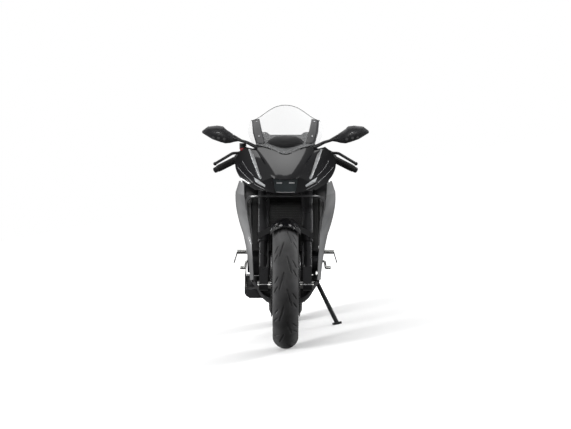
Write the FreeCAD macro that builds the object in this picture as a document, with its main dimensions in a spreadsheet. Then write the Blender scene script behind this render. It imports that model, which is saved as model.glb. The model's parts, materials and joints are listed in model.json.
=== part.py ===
import FreeCAD
import Part
import Sketcher
import math
import os
import re
from FreeCAD import Placement, Rotation, Vector

# A middle-weight sport motorcycle with full bodywork, parked on its side stand with its bars straight.
# The machine is drawn upright: X across to the rider's left, Y rearwards from the front axle, Z up from
# the ground. Everything is then tilted on to the stand and centred on the floor that it covers.
# Bodywork, frame and seats are drawn on a lines plan: places given in pitches of three named lengths.

SIZES = {
    # layout
    "wheelbase": 1395,
    "rake": 23.7,
    "trail": 90,
    "lean_angle": 11,
    "pitch_across": 100,
    "pitch_along": 100,
    "pitch_up": 100,
    # running fits and seats
    "seat_gap": 0.3,
    "running_gap": 0.05,
    "overrun": 2,
    # front wheel
    "front_rim_radius": 215.9,
    "front_rim_width": 89,
    "front_tyre_width": 120,
    "front_tyre_height": 84,
    "front_crown_radius": 62,
    "front_sidewall_radius": 45,
    "front_axle_radius": 10,
    "front_axle_bore": 7,
    "axle_head": 8,
    "front_hub_radius": 26,
    "front_hub_flange": 42,
    "front_spoke_thickness": 26,
    # rear wheel
    "rear_rim_radius": 215.9,
    "rear_rim_width": 140,
    "rear_tyre_width": 180,
    "rear_tyre_height": 99,
    "rear_crown_radius": 95,
    "rear_sidewall_radius": 60,
    "rear_axle_radius": 11,
    "rear_hub_radius": 34,
    "rear_hub_flange": 48,
    "rear_spoke_thickness": 34,
    # both wheels
    "tyre_wall": 9,
    "rim_flange_height": 14,
    "rim_flange_thickness": 6,
    "rim_wall": 6,
    "bead_seat": 16,
    "well_slope": 8,
    "well_depth": 14,
    "hub_flange_thickness": 8,
    "spoke_root_half": 15,
    "spoke_tip_half": 46,
    "spoke_leg": 15,
    "spoke_window_root": 80,
    "spoke_count": 5,
    # discs, calipers and final drive
    "disc_thickness": 5,
    "disc_offset": 66,
    "front_disc_radius": 149,
    "front_disc_inner": 114,
    "rear_disc_offset": 82,
    "rear_disc_radius": 122,
    "rear_disc_inner": 92,
    "disc_carrier_radius": 56,
    "disc_carrier_bore": 33,
    "disc_arm_half": 8,
    "disc_arm_count": 6,
    "caliper_inner_radius": 104,
    "caliper_outer_margin": 17,
    "caliper_inboard": 19,
    "caliper_outboard": 27,
    "caliper_half_length": 56,
    "caliper_slot_gap": 1.5,
    "caliper_angle": 62,
    "caliper_bolt_half": 40,
    "chain_line": 106,
    "chain_pitch": 15.875,
    "rear_sprocket_teeth": 42,
    "front_sprocket_teeth": 16,
    "sprocket_thickness": 7,
    "sprocket_carrier_radius": 62,
    "sprocket_hole_radius": 9,
    "sprocket_hole_circle": 80,
    "sprocket_shaft_radius": 16,
    "chain_roller_radius": 5.1,
    "chain_plate_half": 7.5,
    "chain_plate_thickness": 2.4,
    "chain_inner_width": 11,
    "chain_gap": 0.5,
    # front fork and steering
    "fork_half_spacing": 105,
    "fork_tube_radius": 27,
    "fork_slider_radius": 20.5,
    "fork_slider_top": 330,
    "fork_tube_bottom": 215,
    "fork_top": 770,
    "fork_cap_radius": 23,
    "fork_cap_height": 9,
    "fork_foot_inboard": 22,
    "fork_foot_outboard": 19,
    "fork_foot_radius": 27,
    "fork_foot_height": 84,
    "fork_lug_thickness": 12,
    "lower_yoke_bottom": 500,
    "lower_yoke_height": 40,
    "upper_yoke_bottom": 740,
    "upper_yoke_height": 24,
    "yoke_clamp": 13,
    "yoke_front": 24,
    "yoke_rear": 24,
    "yoke_nose_half": 36,
    "yoke_nose_rear": 26,
    "stem_radius": 15,
    "stem_nut_radius": 20,
    "stem_nut_height": 10,
    "head_tube_radius": 31,
    "head_tube_gap": 6,
    # bars and hand controls
    "bar_sweep": 36,
    "bar_droop": 10.5,
    "bar_radius": 11,
    "bar_length": 306,
    "bar_clamp_bottom": 702,
    "bar_clamp_height": 32,
    "bar_clamp_wall": 9,
    "bar_end_radius": 14,
    "bar_end_length": 20,
    "grip_radius": 16.5,
    "grip_length": 118,
    "switch_length": 40,
    "switch_radius": 21,
    "perch_length": 24,
    "perch_radius": 17,
    "lever_reach": 62,
    "lever_radius": 7,
    "lever_length": 150,
    "lever_tip_radius": 9,
    "lever_sweep": 12,
    "reservoir_radius": 17,
    "reservoir_height": 30,
    "reservoir_rise": 14,
    "master_cylinder_radius": 12,
    # mudguard
    "mudguard_gap": 13,
    "mudguard_thickness": 3,
    "mudguard_half_width": 70,
    "mudguard_front_angle": 62,
    "mudguard_rear_angle": 168,
    "mudguard_wing_thickness": 4,
    # bodywork shells
    "panel_thickness": 3,
    "position_lamp_radius": 5,
    "tail_lamp_depth": 30,
    "instrument_depth": 18,
    "mirror_stalk_radius": 9,
    "mirror_rim": 6,
    "mirror_glass_thickness": 2,
    "stay_radius": 9,
    "carrier_half_width": 34,
    "plate_half_width": 90,
    "plate_thickness": 2,
    "indicator_stalk_radius": 6,
    "indicator_radius": 15,
    "indicator_length": 46,
    "screen_thickness": 3,
    "tank_tunnel_half": 132,
    "tank_tunnel_top": 842,
    "cap_radius": 38,
    "cap_height": 7,
    # frame
    "frame_tube_radius": 18,
    "cross_tube_radius": 12,
    "shock_bracket_half": 16,
    "bracket_thickness": 6,
    "seat_rail_radius": 12,
    "pivot_plate_inboard": 139,
    "pivot_plate_thickness": 15,
    "pivot_radius": 12,
    # swingarm
    "swingarm_pivot_half": 134,
    "pivot_head": 8,
    "swingarm_pivot_along": 850,
    "swingarm_pivot_up": 398,
    "swingarm_tube_radius": 23,
    "swingarm_left_inboard": 122,
    "swingarm_right_inboard": 112,
    "swingarm_arm_thickness": 30,
    "swingarm_root_half": 34,
    "swingarm_tip_half": 24,
    "swingarm_tip_overhang": 52,
    "bobbin_radius": 14,
    "bobbin_length": 16,
    "shock_body_radius": 20,
    "shock_spring_radius": 27,
    "shock_wire_radius": 4,
    "shock_spring_turns": 6,
    "shock_eye_radius": 15,
    # engine
    "engine_right": 108,
    "engine_left": 86,
    "cylinder_half": 138,
    "clutch_cover_radius": 92,
    "clutch_cover_depth": 84,
    "generator_cover_radius": 76,
    "generator_cover_depth": 80,
    "cover_step": 14,
    "sprocket_cover_gap": 9,
    "sprocket_cover_thickness": 6,
    # radiator
    "radiator_half_width": 161.5,
    "radiator_height": 262,
    "radiator_depth": 34,
    "radiator_tank": 24,
    "radiator_tilt": 8,
    "radiator_fin_pitch": 9,
    "radiator_fin_gap": 5,
    "radiator_fin_depth": 4,
    # exhaust
    "header_radius": 19,
    "silencer_wall": 2,
    "outlet_radius": 22,
    "silencer_shield_gap": 3,
    "silencer_shield_thickness": 3,
    # foot rests
    "hanger_thickness": 8,
    "pedal_radius": 6,
    "peg_radius": 11,
    "peg_length": 88,
    "peg_feeler_radius": 3,
    # side stand
    "stand_leg_radius": 11,
    "stand_foot_radius": 24,
    "stand_foot_thickness": 10,
    "stand_boss_radius": 17,
    "stand_boss_height": 26,
    "stand_lug_gap": 1,
    "stand_lug_thickness": 14,
    "stand_strut_radius": 8,
    "stand_bolt_radius": 6,
    "stand_bracket_reach": 42,
    "stand_bolt_head": 6,
}

doc = FreeCAD.newDocument("sport_bike")
sheet = doc.addObject("Spreadsheet::Sheet", "Sizes")
for row, (alias, value) in enumerate(SIZES.items(), start=1):
    sheet.set(f"A{row}", alias)
    sheet.set(f"B{row}", str(value))
    sheet.setAlias(f"B{row}", alias)
doc.recompute()


def bound(expression):
    """The expression with each size made a reference to the sheet."""
    return re.sub(
        r"\b[a-z][a-z_]*\b", lambda word: "Sizes." + word[0] if word[0] in SIZES else word[0], expression
    )


def size(expression):
    """The value of an expression of sizes, as a plain number."""
    value = sheet.evalExpression(expression)
    return float(getattr(value, "Value", value))


def at(share):
    """The point that a place on the lines plan stands for."""
    across, along, up = share
    return Vector(across * size("pitch_across"), along * size("pitch_along"), up * size("pitch_up"))


# Sketches and features

def new_body(label):
    body = doc.addObject("PartDesign::Body", label)
    body.Label = label
    return body


def origin_item(body, role):
    return next(item for item in body.Origin.OriginFeatures if item.Role == role)


def draw(body, plane, outlines, offset=None):
    """A sketch of closed outlines on one of the body's own planes, each corner and radius bound to the sheet.

    An outline is ("circle", x, y, radius) or a list of corners (x, y). A corner with a third value starts
    an arc of that radius, which bulges to the left of the way drawn, or to the right after a minus sign.
    """
    sketch = body.newObject("Sketcher::SketchObject", body.Name + "_sketch")
    sketch.AttachmentSupport = [(origin_item(body, plane), "")]
    sketch.MapMode = "FlatFace"
    if offset:
        sketch.setExpression("AttachmentOffset.Base.z", bound(offset))
    for outline in outlines:
        if outline[0] == "circle":
            draw_circle(sketch, *outline[1:])
        else:
            draw_outline(sketch, outline)
    return sketch


def constrain(sketch, kind, geometry, position, expression):
    value = size(expression)
    index = sketch.addConstraint(Sketcher.Constraint(kind, -1, 1, geometry, position, value))
    sketch.setExpression(f"Constraints[{index}]", bound(expression))


def constrain_radius(sketch, geometry, expression):
    index = sketch.addConstraint(Sketcher.Constraint("Radius", geometry, size(expression)))
    sketch.setExpression(f"Constraints[{index}]", bound(expression))


def draw_circle(sketch, x, y, radius):
    circle = Part.Circle(Vector(size(x), size(y), 0), Vector(0, 0, 1), size(radius))
    geometry = sketch.addGeometry(circle, False)
    constrain(sketch, "DistanceX", geometry, 3, x)
    constrain(sketch, "DistanceY", geometry, 3, y)
    constrain_radius(sketch, geometry, radius)


def draw_outline(sketch, corners):
    points = [Vector(size(corner[0]), size(corner[1]), 0) for corner in corners]
    ends = []
    for i, corner in enumerate(corners):
        start, finish = points[i], points[(i + 1) % len(points)]
        if len(corner) == 2:
            ends.append((sketch.addGeometry(Part.LineSegment(start, finish), False), 1, 2))
            continue
        bulge = size(corner[2])
        chord = finish - start
        left = Vector(-chord.y, chord.x, 0).normalize()
        depth = math.sqrt(max(0.0, bulge * bulge - chord.Length * chord.Length / 4))
        centre = (start + finish) / 2 - left * math.copysign(depth, bulge)
        first, last = (finish, start) if bulge > 0 else (start, finish)
        circle = Part.Circle(centre, Vector(0, 0, 1), abs(bulge))
        arc = Part.ArcOfCircle(circle, *(math.atan2(p.y - centre.y, p.x - centre.x) for p in (first, last)))
        geometry = sketch.addGeometry(arc, False)
        ends.append((geometry, 2, 1) if bulge > 0 else (geometry, 1, 2))
        constrain_radius(sketch, geometry, f"abs({corner[2]})")
    for i, corner in enumerate(corners):
        geometry, start, _ = ends[i]
        before, _, finish = ends[i - 1]
        sketch.addConstraint(Sketcher.Constraint("Coincident", before, finish, geometry, start))
        constrain(sketch, "DistanceX", geometry, start, corner[0])
        constrain(sketch, "DistanceY", geometry, start, corner[1])


def feature(body, kind, sketch):
    made = body.newObject("PartDesign::" + kind, body.Name + "_" + kind.lower())
    made.Profile = (sketch, [""])
    return made


def pad(body, sketch, length, both_ways=False, kind="Pad", backwards=False):
    made = feature(body, kind, sketch)
    made.SideType = "Symmetric" if both_ways else "One side"
    made.Reversed = backwards
    made.setExpression("Length", bound(length))
    return made


def pocket(body, sketch, length, both_ways=False, backwards=False):
    return pad(body, sketch, length, both_ways, "Pocket", backwards)


def pocket_through(body, sketch):
    made = feature(body, "Pocket", sketch)
    made.Type = "ThroughAll"
    made.SideType = "Symmetric"
    return made


def revolve(body, sketch, axis="H_Axis"):
    made = feature(body, "Revolution", sketch)
    made.ReferenceAxis = (sketch, [axis])
    made.Angle = 360
    return made


def polar(body, originals, count, axis="X_Axis"):
    made = body.newObject("PartDesign::PolarPattern", body.Name + "_ring")
    made.Originals = originals
    made.Axis = (origin_item(body, axis), [""])
    made.Angle = 360
    made.setExpression("Occurrences", bound(count))
    body.Tip = made
    return made


def place(thing, frame):
    """Puts a piece in its own frame on the upright machine."""
    thing.Placement = frame
    return thing


def shaped(label, shape):
    """A piece whose shape is worked out from the sheet's sizes."""
    piece = doc.addObject("Part::Feature", label)
    piece.Label = label
    piece.Shape = shape
    return piece


def joined(shapes):
    """One clean shape fused from several."""
    return shapes[0].multiFuse(shapes[1:]).removeSplitter()


def both_sides(shape):
    """The shape and its mirror image on the machine's other side, as one compound."""
    return Part.makeCompound([shape, shape.mirror(Vector(0, 0, 0), Vector(1, 0, 0))])


# Frames on the upright machine

def front_radius():
    return size("front_rim_radius + front_tyre_height")


def rear_radius():
    return size("rear_rim_radius + rear_tyre_height")


FORK_OFFSET = "((front_rim_radius + front_tyre_height) * sin(rake * 1deg) - trail * cos(rake * 1deg))"


def front_wheel_frame():
    return Placement(Vector(0, 0, front_radius()), Rotation())


def rear_wheel_frame():
    return Placement(Vector(0, size("wheelbase"), rear_radius()), Rotation())


def steering_frame():
    """Z runs up the steering axis, and the front axle is one fork offset ahead of the origin."""
    tilt = Rotation(Vector(1, 0, 0), -size("rake"))
    axle = Vector(0, 0, front_radius())
    return Placement(axle + tilt.multVec(Vector(0, size(FORK_OFFSET), 0)), tilt)


def bar_frame():
    """X runs out along the left bar from the fork leg's axis, and Y points back."""
    turn = Rotation(Vector(0, 0, 1), size("bar_sweep")) * Rotation(Vector(0, 1, 0), size("bar_droop"))
    root = Vector(
        size("fork_half_spacing"), -size(FORK_OFFSET), size("bar_clamp_bottom + bar_clamp_height / 2")
    )
    return steering_frame() * Placement(root, turn)


# Skins: thin panels with smooth stretches and sharp creases

def even(chords):
    """Parameters from 0 to 1 that follow the mean chord lengths."""
    total = sum(chords)
    steps = [0.0]
    for chord in chords:
        steps.append(steps[-1] + chord / total)
    steps[-1] = 1.0
    return steps


def spline(points, steps):
    curve = Part.BSplineCurve()
    if len(points) == 2:
        curve.buildFromPolesMultsKnots(points, [2, 2], [0, 1], False, 1)
    else:
        curve.interpolate(Points=points, Parameters=steps)
    return curve


def patch_surface(grid, along, across):
    """The surface through a grid of points, grid[rail][station]."""
    rails = [spline(rail, along) for rail in grid]
    ribs = [spline(list(column), across) for column in zip(*[rail.getPoles() for rail in rails])]
    surface = Part.BSplineSurface()
    surface.buildFromPolesMultsKnots(
        [rib.getPoles() for rib in ribs],
        rails[0].getMultiplicities(), ribs[0].getMultiplicities(),
        rails[0].getKnots(), ribs[0].getKnots(),
        False, False, rails[0].Degree, ribs[0].Degree,
    )
    return surface


def ruled_surface(first, second):
    """The surface of straight lines between two curves of the same make."""
    surface = Part.BSplineSurface()
    surface.buildFromPolesMultsKnots(
        [first.getPoles(), second.getPoles()],
        [2, 2], first.getMultiplicities(), [0, 1], first.getKnots(), False, False, 1, first.Degree,
    )
    return surface


def mean_chords(rows):
    return [
        sum(row[i].distanceToPoint(row[i + 1]) for row in rows) / len(rows)
        for i in range(len(rows[0]) - 1)
    ]


def spans(creases, count):
    cuts = [0, *creases, count - 1]
    return list(zip(cuts, cuts[1:]))


def skin(grid, thickness, rail_creases=(), station_creases=(), left_out=()):
    """A panel of even thickness through grid[rail][station], with its outer face on the side that each
    rail, station pair turns to by the left-hand rule. It creases along the named rails and stations,
    and leaves out the named patches, each a pair of numbers (of rails, of stations)."""
    rail_spans = spans(rail_creases, len(grid))
    station_spans = spans(station_creases, len(grid[0]))
    steps_along = [even(mean_chords([rail[a:b + 1] for rail in grid])) for a, b in station_spans]
    columns = [list(column) for column in zip(*grid)]
    steps_across = [even(mean_chords([column[a:b + 1] for column in columns])) for a, b in rail_spans]
    kept = [
        (i, j) for i in range(len(rail_spans)) for j in range(len(station_spans)) if (i, j) not in left_out
    ]

    def surfaces(points):
        made = {}
        for i, j in kept:
            (r0, r1), (s0, s1) = rail_spans[i], station_spans[j]
            made[i, j] = patch_surface(
                [rail[s0:s1 + 1] for rail in points[r0:r1 + 1]], steps_along[j], steps_across[i]
            )
        return made

    outer = surfaces(grid)
    normals = {}
    for (i, j), surface in outer.items():
        (r0, r1), (s0, s1) = rail_spans[i], station_spans[j]
        for r in range(r0, r1 + 1):
            for s in range(s0, s1 + 1):
                u, v = steps_along[j][s - s0], steps_across[i][r - r0]
                normals.setdefault((r, s), []).append(surface.normal(u, v))
    inner_grid = [list(rail) for rail in grid]
    for (r, s), found in normals.items():
        mean = sum(found, Vector(0, 0, 0)).normalize()
        mitre = max(0.5, min(mean.dot(one) for one in found))
        inner_grid[r][s] = grid[r][s] - mean * (thickness / mitre)
    inner = surfaces(inner_grid)
    faces = [surface.toShape() for surface in (*outer.values(), *inner.values())]
    for i, j in kept:
        edges = {(i, j - 1): (0, None), (i, j + 1): (1, None), (i - 1, j): (None, 0), (i + 1, j): (None, 1)}
        for neighbour, (u, v) in edges.items():
            if neighbour in outer:
                continue
            pair = [one.uIso(u) if v is None else one.vIso(v) for one in (outer[i, j], inner[i, j])]
            faces.append(ruled_surface(*pair).toShape())
    shell = Part.makeShell(faces)
    shell.sewShape()
    return solid_of(shell)


def solid_of(shell):
    solid = Part.makeSolid(shell)
    if solid.Volume < 0:
        solid.reverse()
    return solid


def mirrored_grid(half):
    """A full grid from its left half, whose first rail is the centre line."""
    other = [[Vector(-p.x, p.y, p.z) for p in rail] for rail in half[:0:-1]]
    return other + half


def points_of(share_rows):
    return [[at(share) for share in row] for row in share_rows]


def tube(route, radius, bend=2.5):
    """A round bar along straight runs joined by tangent arcs, as tight as bend times its radius allows."""
    edges = []
    start = route[0]
    runs = [first.distanceToPoint(second) for first, second in zip(route, route[1:])]
    rooms = [run * 0.45 for run in runs]
    rooms[0], rooms[-1] = runs[0] * 0.9, runs[-1] * 0.9
    for i, (before, corner, after) in enumerate(zip(route, route[1:], route[2:])):
        back, ahead = (before - corner).normalize(), (after - corner).normalize()
        half = (math.pi - back.getAngle(ahead)) / 2
        reach = min(rooms[i], rooms[i + 1], bend * radius * math.tan(half))
        entry, leave = corner + back * reach, corner + ahead * reach
        sagitta = reach / math.tan(half) * (1 / math.cos(half) - 1)
        middle = corner + (back + ahead).normalize() * sagitta
        edges.append(Part.LineSegment(start, entry).toShape())
        edges.append(Part.Arc(entry, middle, leave).toShape())
        start = leave
    edges.append(Part.LineSegment(start, route[-1]).toShape())
    path = Part.Wire(edges)
    ring = Part.Wire(Part.makeCircle(radius, route[0], route[1] - route[0]))
    return path.makePipeShell([ring], True, True)


def rod(start, finish, radius):
    return Part.makeCylinder(radius, start.distanceToPoint(finish), start, finish - start)


def slab(outline, x_from, x_to):
    """A flat plate between two places across the machine, with a side outline of (along, up) points."""
    corners = [Vector(x_from, y, z) for y, z in outline]
    face = Part.Face(Part.makePolygon(corners + corners[:1]))
    return face.extrude(Vector(x_to - x_from, 0, 0))


def through(points):
    """A smooth closed curve through the points."""
    curve = Part.BSplineCurve()
    curve.interpolate(Points=points, PeriodicFlag=True)
    return Part.Wire(curve.toShape())


def arch(points):
    """A smooth curve through the points, closed by a straight line between its ends."""
    curve = Part.BSplineCurve()
    curve.interpolate(Points=points)
    return Part.Wire([curve.toShape(), Part.LineSegment(points[-1], points[0]).toShape()])


def loft(sections):
    return Part.makeLoft(sections, True, False)


def pod(stations):
    """A rounded closed form along X from (centre, half depth, half height) shares of oval sections."""
    sections = []
    for centre, deep, high in stations:
        middle = at(centre)
        reach = [Vector(0, deep * size("pitch_along"), 0), Vector(0, 0, high * size("pitch_up"))]
        turns = [math.radians(angle) for angle in range(0, 360, 45)]
        sections.append(through([middle + reach[0] * math.cos(t) + reach[1] * math.sin(t) for t in turns]))
    return loft(sections)


def hull(stations, section_shares):
    """A closed form along Y from (along, half width, top, bottom) shares, each section an arch over a flat
    base, whose left half follows the (across, down) shares of its width and height."""
    sections = []
    for along, half, top, bottom in stations:
        left = [at((half * out, along, top - (top - bottom) * down)) for out, down in section_shares]
        right = [Vector(-p.x, p.y, p.z) for p in left[::-1] if p.x > 0]
        sections.append(arch(right + left))
    return loft(sections)


# Wheels, in frames whose X runs along the axle

def tyre(wheel):
    body = new_body(f"{wheel}_tyre")
    half = f"({wheel}_tyre_width / 2)"
    crown, side = f"{wheel}_crown_radius", f"{wheel}_sidewall_radius"
    middle = f"({wheel}_rim_radius + {wheel}_tyre_height - {crown})"
    shoulder = f"({middle} + sqrt({crown}^2 - {half}^2))"
    under = f"({middle} + sqrt(({crown} - tyre_wall)^2 - ({half} - tyre_wall)^2))"
    bead = f"({wheel}_rim_width / 2 - rim_flange_thickness - seat_gap)"
    seat = f"({wheel}_rim_radius + seat_gap)"
    edge = f"({seat} + rim_flange_height)"
    outline = [
        (f"-{half}", shoulder, crown),
        (half, shoulder, side),
        (bead, edge),
        (bead, seat),
        (f"{bead} - tyre_wall", seat),
        (f"{bead} - tyre_wall", edge, f"-({side} - tyre_wall)"),
        (f"{half} - tyre_wall", under, f"-({crown} - tyre_wall)"),
        (f"tyre_wall - {half}", under, f"-({side} - tyre_wall)"),
        (f"tyre_wall - {bead}", edge),
        (f"tyre_wall - {bead}", seat),
        (f"-{bead}", seat),
        (f"-{bead}", edge, side),
    ]
    revolve(body, draw(body, "XY_Plane", [outline]))
    return body


def rim(wheel, right, left):
    """A cast rim with Y-shaped spokes and a hub, whose ends are (distance out, flange radius)."""
    body = new_body(f"{wheel}_rim")
    radius, half = f"{wheel}_rim_radius", f"({wheel}_rim_width / 2)"
    flange = f"({half} - rim_flange_thickness)"
    seat = f"({flange} - bead_seat)"
    well = f"({seat} - well_slope)"
    lip = f"({radius} + rim_flange_height)"
    floor = f"({radius} - well_depth)"
    top = [(half, lip), (flange, lip), (flange, radius), (seat, radius), (well, floor)]
    under = [(well, f"{floor} - rim_wall"), (seat, f"{radius} - rim_wall"), (half, f"{radius} - rim_wall")]
    outline = top + [(f"-{x}", y) for x, y in top[::-1]] + [(f"-{x}", y) for x, y in under[::-1]] + under
    revolve(body, draw(body, "XY_Plane", [outline]))
    bore, hub = f"({wheel}_axle_radius + running_gap)", f"{wheel}_hub_radius"
    ends = [
        (f"-{right[0]}", bore), (f"-{right[0]}", right[1]),
        (f"hub_flange_thickness - {right[0]}", right[1]), (f"hub_flange_thickness - {right[0]}", hub),
        (f"{left[0]} - hub_flange_thickness", hub), (f"{left[0]} - hub_flange_thickness", left[1]),
        (left[0], left[1]), (left[0], bore),
    ]
    revolve(body, draw(body, "XY_Plane", [ends]))
    reach = f"({floor} - rim_wall / 4)"
    inside = "(spoke_tip_half - spoke_leg)"
    root = f"({hub} * 0.8)"
    spoke = [
        ("-spoke_root_half", root), ("-spoke_tip_half", f"sqrt({reach}^2 - spoke_tip_half^2)"),
        (f"-{inside}", f"sqrt({reach}^2 - {inside}^2)"), ("0", "spoke_window_root"),
        (inside, f"sqrt({reach}^2 - {inside}^2)"), ("spoke_tip_half", f"sqrt({reach}^2 - spoke_tip_half^2)"),
        ("spoke_root_half", root),
    ]
    one = pad(body, draw(body, "YZ_Plane", [spoke]), f"{wheel}_spoke_thickness", both_ways=True)
    polar(body, [one], "spoke_count")
    return body


def disc(label, radius, inner, offset):
    """A brake disc: a plain ring held by the arms of its carrier."""
    body = new_body(label)
    ring = [("circle", "0", "0", radius), ("circle", "0", "0", inner)]
    carrier = [("circle", "0", "0", "disc_carrier_radius"), ("circle", "0", "0", "disc_carrier_bore")]
    pad(body, draw(body, "YZ_Plane", [*ring], offset), "disc_thickness", both_ways=True)
    pad(body, draw(body, "YZ_Plane", [*carrier], offset), "disc_thickness", both_ways=True)
    foot, tip = "(disc_carrier_radius - overrun)", f"({inner} + overrun)"
    arm = [("-disc_arm_half", foot), ("-disc_arm_half", tip), ("disc_arm_half", tip), ("disc_arm_half", foot)]
    polar(
        body, [pad(body, draw(body, "YZ_Plane", [arm], offset), "disc_thickness", both_ways=True)],
        "disc_arm_count"
    )
    return body


def mirrored_pair(label, body):
    """The body and its mirror image as one piece of two solids."""
    other = doc.addObject("Part::Mirroring", body.Name + "_other_side")
    other.Source = body
    other.Normal = Vector(1, 0, 0)
    both = doc.addObject("Part::Compound", label)
    both.Label = label
    both.Links = [body, other]
    return both


def front_wheel():
    end = ("(disc_offset - disc_thickness / 2 - seat_gap)", "front_hub_flange")
    discs = mirrored_pair(
        "front_discs", disc("front_disc", "front_disc_radius", "front_disc_inner", "disc_offset")
    )
    return [place(piece, front_wheel_frame()) for piece in (tyre("front"), rim("front", end, end), discs)]


def sprocket_tip_radius(teeth):
    return f"(chain_pitch / 2 / sin(180deg / {teeth}) - chain_roller_radius - chain_gap)"


def rear_sprocket():
    body = new_body("rear_sprocket")
    rings = [
        ("circle", "0", "0", sprocket_tip_radius("rear_sprocket_teeth")),
        ("circle", "0", "0", "disc_carrier_bore")
    ]
    pad(body, draw(body, "YZ_Plane", rings, "chain_line"), "sprocket_thickness", both_ways=True)
    hole = pocket(
        body, draw(
            body, "YZ_Plane", [("circle", "0", "sprocket_hole_circle", "sprocket_hole_radius")],
            "chain_line"
        ),
        "sprocket_thickness + overrun", both_ways=True,
    )
    polar(body, [hole], "spoke_count")
    return body


def rear_wheel():
    right = ("(rear_disc_offset - disc_thickness / 2 - seat_gap)", "rear_hub_flange")
    left = ("(chain_line - sprocket_thickness / 2 - seat_gap)", "sprocket_carrier_radius")
    rear_disc = disc("rear_disc", "rear_disc_radius", "rear_disc_inner", "-rear_disc_offset")
    return [
        place(piece, rear_wheel_frame())
        for piece in (tyre("rear"), rim("rear", right, left), rear_disc, rear_sprocket())
    ]


# Front fork, in a frame whose origin is on the axle and whose Z runs up the left and right legs

def leg_frame():
    return Placement(Vector(0, 0, front_radius()), steering_frame().Rotation)


def caliper(label, disc_radius, offset):
    """A fixed caliper astride a disc, drawn with its own Z out along the wheel's radius."""
    body = new_body(label)
    outer = f"({disc_radius} + caliper_outer_margin)"
    step = "(caliper_half_length * 0.7)"
    outline = [
        ("-caliper_half_length", "caliper_inner_radius"),
        ("-caliper_half_length", f"{disc_radius}"),
        (f"-{step}", outer), (step, outer),
        ("caliper_half_length", f"{disc_radius}"),
        ("caliper_half_length", "caliper_inner_radius"),
    ]
    depth = "caliper_inboard + caliper_outboard"
    pad(body, draw(body, "YZ_Plane", [outline], f"{offset} - caliper_inboard"), depth)
    slot = draw(body, "YZ_Plane", [("circle", "0", "0", f"{disc_radius} + caliper_slot_gap")], offset)
    pocket(body, slot, "disc_thickness + 2 * caliper_slot_gap", both_ways=True)
    return body


def front_calipers():
    turn = Rotation(Vector(1, 0, 0), -size("caliper_angle"))
    one = place(
        caliper("front_caliper", "front_disc_radius", "disc_offset"), Placement(Vector(0, 0, 0), turn)
    )
    return place(mirrored_pair("front_calipers", one), leg_frame())


def lug_corner(radius, along):
    """A point beside the caliper, at a wheel radius and a distance along it."""
    turn = "caliper_angle * 1deg"
    back = f"{radius} * sin({turn}) - {along} * cos({turn})"
    return back, f"{radius} * cos({turn}) + {along} * sin({turn})"


def fork_lower_legs():
    body = new_body("fork_lower_leg")
    foot = [
        ("fork_foot_radius", "0"), ("-fork_foot_radius", "0"),
        ("-fork_slider_radius", "fork_foot_height"), ("fork_slider_radius", "fork_foot_height"),
    ]
    inner, width = "fork_half_spacing - fork_foot_inboard", "fork_foot_inboard + fork_foot_outboard"
    pad(body, draw(body, "YZ_Plane", [foot], inner), width)
    pad(body, draw(body, "YZ_Plane", [("circle", "0", "0", "fork_foot_radius")], inner), width)
    middle = "((caliper_inner_radius + front_disc_radius) / 2 + caliper_outer_margin)"
    lug = [
        ("0", "0"), ("0", "fork_foot_height - overrun"),
        lug_corner(middle, "caliper_bolt_half"),
        lug_corner("caliper_inner_radius", "caliper_bolt_half * 0.3"),
        lug_corner(middle, "-caliper_bolt_half"),
    ]
    beside = "disc_offset + caliper_outboard + seat_gap"
    pad(body, draw(body, "YZ_Plane", [lug], beside), "fork_lug_thickness")
    slider = draw(
        body, "XY_Plane", [("circle", "fork_half_spacing", "0", "fork_slider_radius")],
        "fork_foot_height - overrun"
    )
    pad(body, slider, "fork_slider_top - fork_foot_height + overrun")
    hole = draw(body, "YZ_Plane", [("circle", "0", "0", "front_axle_radius + running_gap")])
    pocket_through(body, hole)
    return place(mirrored_pair("fork_lower_legs", body), leg_frame())


def fork_upper_tubes():
    body = new_body("fork_upper_tube")
    ring = draw(
        body, "XY_Plane", [("circle", "fork_half_spacing", "0", "fork_tube_radius")], "fork_tube_bottom"
    )
    pad(body, ring, "fork_top - fork_tube_bottom")
    bore = [("circle", "fork_half_spacing", "0", "fork_slider_radius + seat_gap")]
    depth = "fork_slider_top + fork_cap_height - fork_tube_bottom"
    pocket(body, draw(body, "XY_Plane", bore, "fork_tube_bottom"), depth, backwards=True)
    cap = draw(body, "XY_Plane", [("circle", "fork_half_spacing", "0", "fork_cap_radius")], "fork_top")
    pad(body, cap, "fork_cap_height")
    return place(mirrored_pair("fork_upper_tubes", body), leg_frame())


def yoke(label, bottom, height, stem_hole):
    """A fork yoke: two clamps joined by a web that reaches back to the steering stem."""
    body = new_body(label)
    web = [
        ("-fork_half_spacing", "-yoke_front"), ("fork_half_spacing", "-yoke_front"),
        ("fork_half_spacing", "yoke_rear"),
        ("yoke_nose_half", f"{FORK_OFFSET} + yoke_nose_rear"),
        ("-yoke_nose_half", f"{FORK_OFFSET} + yoke_nose_rear"),
        ("-fork_half_spacing", "yoke_rear"),
    ]
    pad(body, draw(body, "XY_Plane", [web], bottom), height)
    sides = ("fork_half_spacing", "-fork_half_spacing")
    clamps = [("circle", x, "0", "fork_tube_radius + yoke_clamp") for x in sides]
    pad(body, draw(body, "XY_Plane", clamps, bottom), height)
    bores = [("circle", x, "0", "fork_tube_radius + seat_gap") for x in sides]
    if stem_hole:
        bores.append(("circle", "0", FORK_OFFSET, "stem_radius + seat_gap"))
    pocket_through(body, draw(body, "XY_Plane", bores))
    return body


def top_yoke():
    body = yoke("top_yoke", "upper_yoke_bottom", "upper_yoke_height", stem_hole=True)
    return place(body, leg_frame())


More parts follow.
